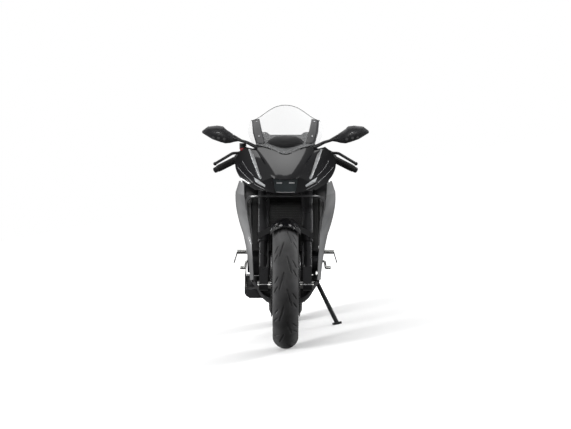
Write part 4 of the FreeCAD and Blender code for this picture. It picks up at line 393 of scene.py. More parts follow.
def newPiece(name, points, faces, material, body):
    mesh = bpy.data.meshes.new(name)
    mesh.from_pydata([tuple(p) for p in points], [], faces)
    mesh.update()
    piece = placed(name, mesh)
    mesh.materials.append(finishes[material])
    mesh.shade_smooth()
    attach(piece, body)
    return piece


def outward(piece):
    work = bmesh.new()
    work.from_mesh(piece.data)
    bmesh.ops.remove_doubles(work, verts=work.verts, dist=1e-6)
    bmesh.ops.recalc_face_normals(work, faces=work.faces)
    work.to_mesh(piece.data)
    work.free()
    return piece


def evenly(first, last, count):
    # values from the first to the last in equal steps
    return [first + (last - first) * k / count for k in range(count + 1)]


def ringFaces(rings, count, first=0):
    # four-sided faces between rings of points that follow one another
    faces = []
    for k in range(rings - 1):
        for i in range(count):
            a, b = first + k * count + i, first + k * count + (i + 1) % count
            faces.append((a, b, b + count, a + count))
    return faces


def treeOf(mesh):
    points = [v.co.copy() for v in mesh.vertices]
    return BVHTree.FromPolygons(points, [tuple(p.vertices) for p in mesh.polygons])


surfaces = {}


def surfaceOf(name):
    if name not in surfaces:
        surfaces[name] = treeOf(nodes[name].data)
    return surfaces[name]


def cloudOf(name):
    # a solid's corners, upright in mm
    return np.array([tuple(upright @ v.co) for v in nodes[name].data.vertices]) * 1000


def meet(name, start, way):
    # the first point of a solid, or of several, along a line, both given upright in mm
    names = [name] if isinstance(name, str) else name
    hits = [surfaceOf(each).ray_cast(spot(*start), heading(*way)) for each in names]
    place, normal, _, _ = min(hits, key=lambda hit: hit[3] if hit[0] is not None else math.inf)
    if place is None:
        return None, None
    if normal.dot(heading(*way)) > 0:
        normal = -normal
    return place, normal


def skinOf(name, rows, material, body, lift, thick):
    # a closed skin on rows of (place, normal), lifted off them by a little
    if len(rows) < 2:
        print("no room for", name)
        return None
    wide, high = len(rows[0]), len(rows)
    points = [p + n * (lift / 1000) for row in rows for p, n in row]
    points += [p + n * ((lift - thick) / 1000) for row in rows for p, n in row]
    layer = wide * high
    faces = []
    for r in range(high - 1):
        for c in range(wide - 1):
            a = r * wide + c
            faces.append((a, a + 1, a + wide + 1, a + wide))
            faces.append((layer + a, layer + a + wide, layer + a + wide + 1, layer + a + 1))
    rim = [r * wide for r in range(high)] + [(high - 1) * wide + c for c in range(1, wide)]
    rim += [r * wide + wide - 1 for r in range(high - 2, -1, -1)] + list(range(wide - 2, 0, -1))
    for a, b in zip(rim, rim[1:] + rim[:1]):
        faces.append((a, b, layer + b, layer + a))
    return outward(newPiece(name, points, faces, material, body))


def resample(line, count):
    points = [Vector(p) for p in line]
    lengths = [0.0]
    for a, b in zip(points, points[1:]):
        lengths.append(lengths[-1] + (b - a).length)
    out = []
    for k in range(count):
        want = lengths[-1] * k / (count - 1)
        i = max(j for j in range(len(lengths)) if lengths[j] <= want + 1e-9)
        i = min(i, len(points) - 2)
        share = (want - lengths[i]) / max(1e-9, lengths[i + 1] - lengths[i])
        out.append(points[i].lerp(points[i + 1], share))
    return out


def sheetOn(name, node, edges, material, body, way=(0, 1, 0), lift=0.8, thick=1.2, samples=24, columns=3):
    # a thin skin on a solid between two edge lines, thrown on to it along a way
    first, second = [resample(edge, samples) for edge in edges]
    rows = []
    for a, b in zip(first, second):
        row = []
        for k in range(columns + 1):
            share = k / columns
            start = [a[i] * (1 - share) + b[i] * share for i in range(3)]
            place, normal = meet(node, start, way)
            if place is None:
                break
            row.append((place, normal))
        if len(row) == columns + 1:
            rows.append(row)
    return skinOf(name, rows, material, body, lift, thick)


def smoothLine(points, count):
    # a soft curve through upright points
    data = [Vector(p) for p in points]
    data = [data[0] * 2 - data[1]] + data + [data[-1] * 2 - data[-2]]
    out = []
    for i in range(1, len(data) - 2):
        a, b, c, d = data[i - 1], data[i], data[i + 1], data[i + 2]
        for k in range(count):
            t = k / count
            bend, twist = 2 * a - 5 * b + 4 * c - d, 3 * b - a - 3 * c + d
            out.append(0.5 * ((2 * b) + (c - a) * t + bend * t * t + twist * t ** 3))
    out.append(data[-2])
    return out


def bar(name, line, radius, material, body, sides=10):
    # a round bar with closed ends along upright points
    points = [spot(*p) for p in line]
    verts = []
    side = None
    for i, p in enumerate(points):
        ahead = (points[min(i + 1, len(points) - 1)] - points[max(i - 1, 0)]).normalized()
        if side is None:
            side = ahead.orthogonal().normalized()
        side = (side - ahead * side.dot(ahead)).normalized()
        third = ahead.cross(side)
        for k in range(sides):
            angle = 2 * math.pi * k / sides
            verts.append(p + (side * math.cos(angle) + third * math.sin(angle)) * (radius / 1000))
    faces = ringFaces(len(points), sides)
    faces.append(tuple(range(sides))[::-1])
    faces.append(tuple(range((len(points) - 1) * sides, len(points) * sides)))
    return outward(newPiece(name, verts, faces, material, body))


def mirrored(points):
    return [(-p[0], p[1], p[2]) for p in points]


def bothSides(make, name, *lines):
    # the same piece on the left and on the right
    return [make(f"{name}_left", *lines), make(f"{name}_right", *[mirrored(line) for line in lines])]


def pairOn(name, node, edges, material, body, **how):
    # the same thin skin on the left and on the right
    return bothSides(lambda hand, a, b: sheetOn(hand, node, (a, b), material, body, **how), name, *edges)


def frontRow(left, right, y, z, count):
    # places in a row across, which face forwards
    return [(spot(x, y, z), heading(0, -1, 0)) for x in evenly(left, right, count)]


# Tyres with their tread cut in

tread = {
    "pitches": 12, "depth": 4.2, "edge": 1.1, "wall": 9.0, "flange": 14.0, "rimRadius": 216.1,
    "taper": 0.6, "sideSteps": 14, "innerSteps": 6, "roofSteps": 16,
    "grooves": [  # each runs from (across, along) to (across, along), in mm, with a half width
        {"from": (7, 2), "to": (28, 78), "half": 2.6},
        {"from": (35, 20), "to": (57, 50), "half": 2.4},
        {"from": (38, 66), "to": (60, 96), "half": 2.4},
    ],
}
tyres = {
    "front_tyre": {
        "body": "front_wheel", "joint": "front_wheel_spin", "half": 60.0, "crown": 62.0, "side": 45.0,
        "radius": 299.9, "bead": 38.2, "rounds": 780, "cell": 2.4, "across": 1.0,
    },
    "rear_tyre": {
        "body": "rear_wheel", "joint": "rear_wheel_spin", "half": 90.0, "crown": 95.0, "side": 60.0,
        "radius": 314.9, "bead": 63.7, "rounds": 660, "cell": 3.0, "across": 1.42,
    },
}


def arcLine(a, b, radius, count, turn):
    # points of the short arc from a to b, in section; turn says on which side of the line its middle lies
    a, b = np.array(a, float), np.array(b, float)
    half = (b - a) / 2
    length = np.linalg.norm(half)
    square = np.array((-half[1], half[0])) / length
    middle = (a + b) / 2 + square * turn * math.sqrt(max(0.0, radius ** 2 - length ** 2))
    first, last = np.arctan2(*(a - middle)[::-1]), np.arctan2(*(b - middle)[::-1])
    sweep = (last - first + math.pi) % (2 * math.pi) - math.pi
    angles = first + sweep * np.arange(count) / count
    return [tuple(middle + radius * np.array((math.cos(t), math.sin(t)))) for t in angles]


def tyreSection(tyre):
    # closed section as (across, radius), the count of its points on the crown first
    middle = tyre["radius"] - tyre["crown"]
    shoulder = middle + math.sqrt(tyre["crown"] ** 2 - tyre["half"] ** 2)
    edge, seat = tread["rimRadius"] + tread["flange"], tread["rimRadius"]
    reach = 2 * math.asin(tyre["half"] / tyre["crown"]) * tyre["crown"]
    steps = round(reach / tyre["cell"])
    line = arcLine((-tyre["half"], shoulder), (tyre["half"], shoulder), tyre["crown"], steps, -1)
    side = arcLine((tyre["half"], shoulder), (tyre["bead"], edge), tyre["side"], tread["sideSteps"], -1)
    wall, bead = tread["wall"], tyre["bead"]
    turn = [(bead, edge), (bead, seat), (bead - wall, seat)]
    under = middle + math.sqrt((tyre["crown"] - wall) ** 2 - (tyre["half"] - wall) ** 2)
    inside, outside = (bead - wall, edge), (tyre["half"] - wall, under)
    inner = arcLine(inside, outside, tyre["side"] - wall, tread["innerSteps"], 1)
    roof = arcLine(outside, (-outside[0], under), tyre["crown"] - wall, tread["roofSteps"], 1)
    line += side + turn + inner + roof
    line += [(-x, r) for x, r in inner[::-1] + turn[::-1] + side[1:][::-1]]
    return np.array(line), steps, middle


def grooveField(across, along, pitch, scale):
    # one where the tread is cut to its full depth, none on the blocks
    field = np.zeros(across.shape)
    for side, shift in ((1, 0.0), (-1, pitch / 2)):
        for groove in tread["grooves"]:
            start = np.array((groove["from"][0] * scale, groove["from"][1]))
            reach = np.array((groove["to"][0] * scale, groove["to"][1])) - start
            for turn in (-1, 0, 1):
                dx = across * side - start[0]
                dy = (along + shift) % pitch + turn * pitch - start[1]
                share = np.clip((dx * reach[0] + dy * reach[1]) / reach.dot(reach), 0, 1)
                gap = np.hypot(dx - reach[0] * share, dy - reach[1] * share)
                half = groove["half"] * (tread["taper"] + (1 - tread["taper"]) * np.sin(np.pi * share))
                field = np.maximum(field, np.clip((half + tread["edge"] - gap) / tread["edge"], 0, 1))
    return field


def makeTyre(node, tyre):
    section, steps, middle = tyreSection(tyre)
    rounds, count = tyre["rounds"], len(section)
    turn = np.arange(rounds) * 2 * math.pi / rounds
    pitch = 2 * math.pi * tyre["radius"] / tread["pitches"]
    offset, radius = section[:, 0], section[:, 1]
    crown = np.arange(count) <= steps
    across = np.where(crown, tyre["crown"] * np.arcsin(np.clip(offset / tyre["crown"], -1, 1)), 0)
    along = turn * tyre["radius"]
    field = grooveField(
        across[None, :].repeat(rounds, 0), along[:, None].repeat(count, 1), pitch, tyre["across"]
    )
    field = np.where(crown[None, :], field, 0) * tread["depth"]
    x = offset[None, :] - field * (offset / tyre["crown"])[None, :]
    r = radius[None, :] - field * ((radius - middle) / tyre["crown"])[None, :]
    joint = joints[tyre["joint"]]
    hub, axle = Vector(joint["pos_m"]), Vector(joint["axis"]).normalized()
    first = (heading(0, 0, 1) - axle * heading(0, 0, 1).dot(axle)).normalized()
    second = axle.cross(first)
    cosine, sine = np.cos(turn)[:, None], np.sin(turn)[:, None]
    points = np.stack(
        [hub[k] + (x * axle[k] + r * cosine * first[k] + r * sine * second[k]) / 1000 for k in range(3)], -1
    )
    i, j = np.arange(rounds)[:, None], np.arange(count)[None, :]
    a, b = i * count + j, i * count + (j + 1) % count
    c, d = ((i + 1) % rounds) * count + (j + 1) % count, ((i + 1) % rounds) * count + j
    faces = np.stack([a, b, c, d], -1).reshape(-1, 4).tolist()
    piece = newPiece(node + "_treaded", points.reshape(-1, 3).tolist(), faces, "tyreRubber", tyre["body"])
    outward(piece)
    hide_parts(node)
    return piece


for tyreName, tyre in tyres.items():
    makeTyre(tyreName, tyre)
print("tyres made")

# Padded seats

seats = {
    "voxel": 0.005, "shrink": 0.0025, "pressure": 4.0, "cap": 0.006, "held": 0.3, "stiff": 40, "steps": 20,
}


def makeSeat(node):
    mesh = nodes[node].data.copy()
    mesh.name = node + "_pad"
    pad = placed(node + "_pad", mesh)
    remesh = pad.modifiers.new("even", "REMESH")
    remesh.mode, remesh.voxel_size, remesh.use_smooth_shade = "VOXEL", seats["voxel"], True
    settled(pad)
    work = bmesh.new()
    work.from_mesh(pad.data)
    bmesh.ops.smooth_vert(
        work, verts=work.verts, factor=0.5, use_axis_x=True, use_axis_y=True, use_axis_z=True
    )
    work.normal_update()
    down = heading(0, 0, -1)
    held = [v.index for v in work.verts if v.normal.dot(down) > seats["held"]]
    for v in work.verts:
        v.co -= v.normal * seats["shrink"] * (1 - max(0.0, v.normal.dot(down)))
    work.to_mesh(pad.data)
    work.free()
    puffed(pad, held)
    soften = pad.modifiers.new("finer", "SUBSURF")
    soften.levels = soften.render_levels = 1
    dressed(settled(pad), "seatCover")
    pad.data.shade_smooth()
    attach(pad, "chassis")
    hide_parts(node)
    return pad


def puffed(pad, held):
    # the pad blown up as cloth that is held underneath, moved no further than the cap
    start = [v.co.copy() for v in pad.data.vertices]
    group = pad.vertex_groups.new(name="held")
    group.add(held, 1.0, "REPLACE")
    cloth = pad.modifiers.new("puff", "CLOTH")
    cloth.settings.use_pressure = True
    cloth.settings.uniform_pressure_force = seats["pressure"]
    cloth.settings.effector_weights.gravity = 0
    cloth.settings.vertex_group_mass = "held"
    cloth.settings.tension_stiffness = cloth.settings.compression_stiffness = seats["stiff"]
    for step in range(1, seats["steps"] + 1):
        bpy.context.scene.frame_set(step)
    settled(pad)
    bpy.context.scene.frame_set(1)
    for v, rest in zip(pad.data.vertices, start):
        shift = v.co - rest
        if shift.length > seats["cap"]:
            v.co = rest + shift.normalized() * seats["cap"]
    pad.vertex_groups.clear()


for seatName in ("rider_seat", "passenger_seat"):
    makeSeat(seatName)
print("seats padded")

# What repeats: a template set out on points by geometry nodes


def repeatGroup():
    group = bpy.data.node_groups.new("repeatOnPoints", "GeometryNodeTree")
    for name, kind in (
        ("Geometry", "NodeSocketGeometry"), ("Part", "NodeSocketObject"), ("Finish", "NodeSocketMaterial")
    ):
        group.interface.new_socket(name=name, in_out="INPUT", socket_type=kind)
    group.interface.new_socket(name="Geometry", in_out="OUTPUT", socket_type="NodeSocketGeometry")
    start, end = group.nodes.new("NodeGroupInput"), group.nodes.new("NodeGroupOutput")
    part = group.nodes.new("GeometryNodeObjectInfo")
    onPoints = group.nodes.new("GeometryNodeInstanceOnPoints")
    axes = group.nodes.new("FunctionNodeAxesToRotation")
    axes.primary_axis, axes.secondary_axis = "Z", "X"
    real, paint = group.nodes.new("GeometryNodeRealizeInstances"), group.nodes.new("GeometryNodeSetMaterial")
    for name, socket in (("aim", "Primary Axis"), ("roll", "Secondary Axis")):
        read = group.nodes.new("GeometryNodeInputNamedAttribute")
        read.data_type = "FLOAT_VECTOR"
        read.inputs["Name"].default_value = name
        wired(group, (read, "Attribute", axes, socket))
    wired(
        group, (start, "Geometry", onPoints, "Points"), (start, "Part", part, "Object"),
        (part, "Geometry", onPoints, "Instance"), (axes, "Rotation", onPoints, "Rotation"),
        (onPoints, "Instances", real, "Geometry"), (real, "Geometry", paint, "Geometry"),
        (start, "Finish", paint, "Material"), (paint, "Geometry", end, "Geometry")
    )
    return group


repeatOnPoints = repeatGroup()


def repeated(name, template, places, material, body):
    # places are (point, aim, roll) in the frame; the template has Z along aim and X along roll
    shape = bpy.data.meshes.new(name + "Shape")
    shape.from_pydata(template[0], [], template[1])
    part = placed(name + "Shape", shape)
    cloud = bpy.data.meshes.new(name)
    cloud.from_pydata([tuple(place[0]) for place in places], [], [])
    for label, index in (("aim", 1), ("roll", 2)):
        values = cloud.attributes.new(label, "FLOAT_VECTOR", "POINT")
        values.data.foreach_set("vector", [c for place in places for c in place[index]])
    piece = placed(name, cloud)
    modifier = piece.modifiers.new("repeat", "NODES")
    modifier.node_group = repeatOnPoints
    items = repeatOnPoints.interface.items_tree
    sockets = {item.name: item.identifier for item in items if item.in_out == "INPUT"}
    modifier[sockets["Part"]] = part
    modifier[sockets["Finish"]] = finishes[material]
    mesh = settled(piece)
    for label in ("aim", "roll"):
        if label in mesh.attributes:
            mesh.attributes.remove(mesh.attributes[label])
    bpy.data.objects.remove(part)
    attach(piece, body)
    return piece


def prism(outlineAt, levels):
    # a closed solid of stacked outlines; outlineAt gives the points of one level
    points = []
    for height, size in levels:
        points += [(x, y, height) for x, y in outlineAt(size)]
    count = len(points) // len(levels)
    faces = ringFaces(len(levels), count)
    faces.append(tuple(range(count))[::-1])
    faces.append(tuple(range(len(points) - count, len(points))))
    return points, faces


def polar(radius, angle):
    return radius * math.cos(angle), radius * math.sin(angle)


def roundLine(radius, sides):
    return [polar(radius, 2 * math.pi * k / sides) for k in range(sides)]


def rod(sides, levels):
    # a solid of round outlines, given as (height, radius)
    return prism(lambda radius: roundLine(radius, sides), levels)


bolt = {"sides": 18, "sunk": 0.4, "rim": 0.7, "crown": 0.86, "socket": 0.5, "corner": 0.12, "floor": 0.3}


def boltHead(radius, height, socket=True):
    # a round head with a rounded rim and a hexagon socket, in metres
    sides = bolt["sides"]
    points, faces = rod(sides, [
        (-height * bolt["sunk"], radius), (height * bolt["rim"], radius), (height, radius * bolt["crown"])
    ])
    if not socket:
        return points, faces
    hexagon = []
    for x, y in roundLine(radius * bolt["socket"], sides):
        pull = 1 - bolt["corner"] * abs(math.sin(3 * math.atan2(y, x)))
        hexagon.append((x * pull, y * pull))
    faces.pop()
    faces += ringFaces(3, sides, len(points) - sides)
    points += [(x, y, z) for z in (height, height * bolt["floor"]) for x, y in hexagon]
    faces.append(tuple(range(len(points) - sides, len(points))))
    return points, faces


# where thrown lines begin, well outside the machine
startAt = {"front": -900, "side": 600, "over": 1100}


def fromFront(places):
    # lines thrown rearwards at (x, z), on both sides
    return [((sign * x, startAt["front"], z), (0, 1, 0)) for sign in (1, -1) for x, z in places]


def fromSide(places, sign):
    # lines thrown inwards at (y, z), from one side
    return [((sign * startAt["side"], y, z), (-sign, 0, 0)) for y, z in places]


def screws(name, node, throws, radius, height, material, body, socket=True):
    # heads set where lines, thrown from outside, meet a solid
    places = []
    for start, way in throws:
        place, normal = meet(node, start, way)
        if place is not None:
            places.append((place, normal, normal.orthogonal().normalized()))
    if places:
        repeated(name, boltHead(radius / 1000, height / 1000, socket), places, material, body)
    else:
        print("no place for", name)


# The screen's side bands and edge

screen = {
    "inner": [(127, -900, 1086), (112, -900, 1022), (97, -900, 966)],
    "outer": [(163, -900, 1079), (157, -900, 1020), (140, -900, 962)],
    "screws": [(139, 1071), (127, 1000)], "screw": 4.2, "screwHigh": 2.2,
    "edge": 1.3, "half": 166.0, "top": 1160.0, "foot": 1000.0, "steps": 30, "halvings": 12,
}


def screenEdge():
    # a bead along the top edge, found by halving the height between glass and air
    line = []
    for k in range(2 * screen["steps"] + 1):
        x = screen["half"] * (k / screen["steps"] - 1)
        low, high = screen["foot"], screen["top"]
        for _ in range(screen["halvings"]):
            middle = (low + high) / 2
            if meet("windscreen", (x, startAt["front"], middle), (0, 1, 0))[0] is None:
                high = middle
            else:
                low = middle
        place, _ = meet("windscreen", (x, startAt["front"], low - screen["edge"] * 2), (0, 1, 0))
        if place is not None:
            line.append(tuple(c * 1000 for c in upright @ place))
    return bar("screen_edge", line, screen["edge"], "satinPlastic", "chassis", sides=8)


pairOn(
    "screen_band", "windscreen", (screen["inner"], screen["outer"]), "satinPlastic", "chassis",
    lift=0.5, thick=3.0
)
screenEdge()
screws(
    "screen_screws", "windscreen", fromFront(screen["screws"]), screen["screw"], screen["screwHigh"],
    "chromeDot", "chassis"
)

# Mirrors: the solid's form drawn to the real outline, which has corners where the solid's is round

mirrorForm = {
    "top": [
        (118, 966), (168, 975), (208, 986), (247, 1009), (284, 1034), (298, 1048), (326, 1052), (371, 1047),
        (401, 1024),
    ],
    "foot": [
        (118, 938), (151, 950), (185, 964), (225, 976), (247, 973), (264, 968), (287, 966), (312, 973),
        (349, 986), (377, 1003), (401, 1018),
    ],
    "voxel": 0.0026, "column": 3.0, "blendFrom": 150.0, "blendTo": 195.0,
    "from": 100, "to": 402, "front": 60, "back": 260, "step": 4, "over": 1200, "under": 800,
}


def drawnTo(name, heights, columns, body, material, voxel=None):
    # a copy of a solid whose columns are stretched from its own heights to the drawn ones
    piece = placed(name + "_drawn", nodes[name].data.copy())
    if voxel:
        even = piece.modifiers.new("even", "REMESH")
        even.mode, even.voxel_size, even.use_smooth_shade = "VOXEL", voxel, True
        settled(piece)
    for v in piece.data.vertices:
        x, y, z = upright @ v.co * 1000
        share = (abs(x) - mirrorForm["blendFrom"]) / (mirrorForm["blendTo"] - mirrorForm["blendFrom"])
        share = min(1.0, max(0.0, share))
        low, high = np.interp(abs(x), columns, heights[0]), np.interp(abs(x), columns, heights[1])
        foot, top = [np.interp(abs(x), *zip(*mirrorForm[k])) for k in ("foot", "top")]
        drawn = foot + (top - foot) * (z - low) / max(1.0, high - low)
        v.co = spot(x, y, z + (drawn - z) * share * share * (3 - 2 * share))
    dressed(piece.data, material)
    piece.data.shade_smooth()
    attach(piece, body)
    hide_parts(name)
    return outward(piece)


def mirrorHeight(x, z, way, pick):
    # the solid's own top or foot in one column, or nothing beside it
    depths = np.arange(mirrorForm["front"], mirrorForm["back"], mirrorForm["step"])
    found = [meet("mirrors", (x, y, z), (0, 0, way))[0] for y in depths]
    found = [(upright @ p).z * 1000 for p in found if p is not None]
    return pick(found) if found else None


def makeMirrors():
    columns, low, high = [], [], []
    for x in np.arange(mirrorForm["from"], mirrorForm["to"], mirrorForm["column"]):
        top = mirrorHeight(x, mirrorForm["over"], -1, max)
        foot = mirrorHeight(x, mirrorForm["under"], 1, min)
        if top is not None and foot is not None:
            columns.append(x)
            low.append(foot)
            high.append(top)
    made = drawnTo(
        "mirrors", (low, high), columns, "chassis", "satinPlastic", mirrorForm["voxel"]
    )
    drawnTo("mirror_glasses", (low, high), columns, "chassis", "mirrorGlass")
    surfaces["mirrors"] = treeOf(made.data)


makeMirrors()

# Lamps and lines on the nose and mirrors; the grey lines along the nose's creases are painted highlights

noseSkin = ("nose_cowl", "position_lamps")
lights = {
    "leds": [(344, 995), (319, 992), (292, 987)], "led": 7.0, "ledHigh": 0.8,
    "wedge": [
        [(151, -600, 914), (134, -600, 862), (113, -600, 798)],
        [(169, -600, 936), (159, -600, 890), (126, -600, 803)],
    ],
    "bar": [
        [(150, -600, 806), (120, -600, 788), (94, -600, 769)],
        [(141, -600, 783), (118, -600, 770), (96, -600, 760)],
    ],
    # painted highlights: grey lines along the nose's creases, where light catches them
    "creases": [
        [(228, -600, 852), (190, -600, 812), (142, -600, 770), (98, -600, 748)],
        [(206, -600, 882), (178, -600, 838), (150, -600, 812)],
    ],
    "lampEdge": [(44, -600, 738), (0, -600, 735), (-44, -600, 738)],
    "lampPad": [[(16, -600, 777), (43, -600, 777)], [(16, -600, 784), (43, -600, 784)]],
    "line": 1.3, "stripe": [(420, 664, 0), (520, 652, 0), (640, 634, 0), (780, 606, 0)], "stripeHalf": 1.6,
    "stripeOut": 500, "stripeSteps": 16,
    "switch": (209, 938), "switchSize": (24, 18, 13),
    "switchTries": (0, 4, -4, 8, -8, 12, -12, 16, -16, 22, -22),
}
screws(
    "mirror_lamps", "mirrors", fromFront(lights["leds"]), lights["led"], lights["ledHigh"], "chromeDot",
    "chassis", socket=False
)


def sideStripe(name, sign, node):
    # the stripe's places are (y, z) on the panel's side
    rows = []
    for y, z, _ in smoothLine(lights["stripe"], lights["stripeSteps"]):
        heights = [z + lights["stripeHalf"] * k for k in (-1, 0, 1)]
        row = [meet(node, (sign * lights["stripeOut"], y, height), (-sign, 0, 0)) for height in heights]
        if all(place is not None for place, _ in row):
            rows.append(row)
    return skinOf(name, rows, "paleLine", "chassis", 0.4, 1.0)


def lineOn(name, line, node=noseSkin, material="paintedHighlightGrey"):
    # a thin line skin on a solid, in the painted highlight grey unless another finish is given
    half = lights["line"]
    edges = [[(x, y, z + shift) for x, y, z in line] for shift in (half, -half)]
    return sheetOn(name, node, edges, material, "chassis", lift=0.4, thick=1.0, samples=16, columns=2)


def noseLamps():
    pairOn("lamp_wedge", noseSkin, lights["wedge"], "finnedLamp", "chassis", lift=0.6, thick=1.6, samples=20)
    pairOn("light_bar", noseSkin, lights["bar"], "whiteLamp", "chassis", lift=0.6, thick=1.6)
    # painted highlights: a grey line along each of the nose's creases, on both sides
    for k, line in enumerate(lights["creases"]):
        bothSides(lineOn, f"nose_crease_{k + 1}", line)
    lineOn("lamp_edge", lights["lampEdge"], "headlamp", "paleLine")
    pairOn("lamp_pad", "headlamp", lights["lampPad"], "whiteLamp", "chassis", lift=0.4, thick=1.0, samples=8)


noseLamps()
sideStripe("left_stripe", 1, "left_fairing")
sideStripe("right_stripe", -1, "right_fairing")


def boxAt(name, centre, sizes, axes, material, body, bevel=1.5):
    # a box with soft edges round a point of the frame
    work = bmesh.new()
    bmesh.ops.create_cube(work, size=1.0)
    for v in work.verts:
        v.co = sum((axes[k] * (v.co[k] * sizes[k] / 1000) for k in range(3)), Vector())
        v.co += centre
    bmesh.ops.bevel(work, geom=work.edges[:], offset=bevel / 1000, segments=2, affect="EDGES", profile=0.5)
    mesh = bpy.data.meshes.new(name)
    work.to_mesh(mesh)
    work.free()
    mesh.materials.append(finishes[material])
    piece = placed(name, mesh)
    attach(piece, body)
    return outward(piece)


def killSwitch():
    # on the first point of the controls that a line from the front meets
    x, z = lights["switch"]
    starts = [(-x - shift, startAt["front"], z) for shift in lights["switchTries"]]
    found = [meet("hand_controls", start, (0, 1, 0))[0] for start in starts]
    place = next(place for place in found if place is not None)
    axes = [heading(1, 0, 0), heading(0, 1, 0), heading(0, 0, 1)]
    return boxAt("kill_switch", place, lights["switchSize"], axes, "redSwitch", "steering")


killSwitch()

# Visor over the instrument, seen through the screen

visor = {
    "outline": [(0, 921), (44, 928), (80, 946), (95, 964), (78, 984), (50, 1000), (0, 1003)],
    "front": 128.0, "crown": 26.0, "thick": 2.5, "rings": 6, "bulge": 2.2,
}


def makeVisor():
    # a domed front and its back, each of rings that shrink towards the middle
    half = visor["outline"]
    line = half + [(-x, z) for x, z in half[-2:0:-1]]
    middle = sum(z for _, z in line) / len(line)
    levels = []
    for layer in range(2):
        for k in range(visor["rings"] + 1):
            share = 1 - k / (visor["rings"] + 1)
            y = visor["front"] - visor["crown"] * (1 - share ** visor["bulge"]) + layer * visor["thick"]
            levels.append([spot(x * share, y, middle + (z - middle) * share) for x, z in line])
    points = [p for level in levels for p in level]
    count, rings = len(line), visor["rings"] + 1
    faces = []
    for layer in range(2):
        first = layer * rings * count
        faces += ringFaces(rings, count, first)
        faces.append(tuple(range(first + (rings - 1) * count, first + rings * count)))
    for i in range(count):
        j = (i + 1) % count
        faces.append((i, j, rings * count + j, rings * count + i))
    return outward(newPiece("instrument_visor", points, faces, "grainPlastic", "chassis"))


makeVisor()

# Panels that close the gap beside the radiator

duct = {
    "front": 352, "inside": 158, "over": 138, "head": 716, "outside": 212, "low": 408, "high": 792,
    "thick": 2.0, "lean": 0.14, "middle": 572, "rows": 33, "columns": 4, "start": 40, "gap": 0.5, "least": 4,
}


def ductPanel(name, sign, node):
    # rows from an inner edge out to the panel, or to a limit above where the panel ends
    rows = []
    for z in evenly(duct["low"], duct["high"], duct["rows"]):
        y = duct["front"] + (z - duct["middle"]) * duct["lean"]
        place, _ = meet(node, (sign * duct["start"], y, z), (sign, 0, 0))
        if place is None and z < duct["middle"]:
            continue
        reach = duct["outside"]
        if place is not None:
            reach = min(reach, abs((upright @ place).x) * 1000 - duct["gap"])
        inside = duct["over"] if z > duct["head"] else duct["inside"]
        if reach > inside + duct["least"]:
            rows.append(frontRow(sign * inside, sign * reach, y, z, duct["columns"]))
    return skinOf(name, rows, "satinPlastic", "chassis", duct["thick"] / 2, duct["thick"])


ductPanel("left_duct", 1, "left_fairing")
ductPanel("right_duct", -1, "right_fairing")
print("screen, lamps and panels made")

# Radiator core: tubes across and fins between them

core = {
    "half": 134.0, "pitch": 5.2, "low": 452.0, "high": 700.0, "tubes": 22, "fin": 0.5, "deep": 1.6,
    "tube": 2.2, "tubeBack": 1.5, "tubeFront": 1.2, "start": -200,
}


def oblong(wide, tall, back, front):
    # a solid of half a width and half a height, between two levels
    corners = [(-wide, -tall), (wide, -tall), (wide, tall), (-wide, tall)]
    return prism(lambda _: corners, [(back, 0), (front, 0)])


def radiatorCore():
    low, high = [meet("radiator", (0, core["start"], core[k]), (0, 1, 0))[0] for k in ("low", "high")]
    rise, across = high - low, heading(1, 0, 0)
    normal = rise.cross(across).normalized()
    if normal.dot(heading(0, -1, 0)) < 0:
        normal = -normal
    middle, deep = (low + high) / 2, core["deep"] / 1000
    fin = oblong(core["fin"] / 1000, rise.length / 2, -deep, deep)
    count = int(core["half"] / core["pitch"])
    places = [
        (middle + across * (k * core["pitch"] / 1000), normal, across) for k in range(-count, count + 1)
    ]
    repeated("radiator_fins", fin, places, "radiatorCore", "chassis")
    back, front = -deep * core["tubeBack"], deep * core["tubeFront"]
    tube = oblong(core["half"] / 1000, core["tube"] / 2000, back, front)
    places = [(low + rise * (k / (core["tubes"] - 1)), normal, across) for k in range(core["tubes"])]
    repeated("radiator_tubes", tube, places, "radiatorCore", "chassis")


radiatorCore()

# Drive chain of links, rollers and pins round both sprockets

chain = {
    "x": 106.0, "front": (746.0, 410.0), "rear": (1395.0, 314.9), "pitch": 15.875, "teeth": (16, 42),
    "half": 7.2, "plate": 1.6, "outerPlate": 1.55, "inner": 11.0, "roller": 5.1, "pin": 2.6, "pinHalf": 7.7,
    "rearSteps": 240, "frontSteps": 120, "plateSides": 20, "rollerSides": 14, "pinSides": 10,
    "waist": 0.16, "waistReach": 0.30,
}


def chainPath():
    # the pins' places along the loop, in (y, z), with an even count of equal steps
    front, rear = [Vector(chain[k]) for k in ("front", "rear")]
    small, large = [chain["pitch"] / 2 / math.sin(math.pi / n) for n in chain["teeth"]]
    gap = rear - front
    slope, flare = math.atan2(gap.y, gap.x), math.asin((large - small) / gap.length)
    up, down = slope + math.pi / 2 + flare, slope - math.pi / 2 - flare
    line = []
    for centre, radius, first, sweep, steps in (
        (rear, large, up, down - up, chain["rearSteps"]),
        (front, small, down, (up - down) - 2 * math.pi, chain["frontSteps"]),
    ):
        for k in range(steps + 1):
            line.append(centre + Vector(polar(1, first + sweep * k / steps)) * radius)
    line.append(line[0])
    total = sum((b - a).length for a, b in zip(line, line[1:]))
    count = 2 * round(total / chain["pitch"] / 2)
    return [Vector(p[:2]) for p in resample([(p.x, p.y, 0) for p in line], count + 1)[:-1]]


def linkPlate(level, thick):
    # two round ends joined by a waist
    half, pitch = chain["half"] / 1000, chain["pitch"] / 1000
    outline = []
    for x, y in roundLine(half, chain["plateSides"]):
        x += math.copysign(pitch / 2, x)
        waist = 1 - chain["waist"] * math.exp(-((x / (pitch * chain["waistReach"])) ** 2))
        outline.append((x, y * waist))
    return prism(lambda _: outline, [(level - thick / 2, 1), (level + thick / 2, 1)])


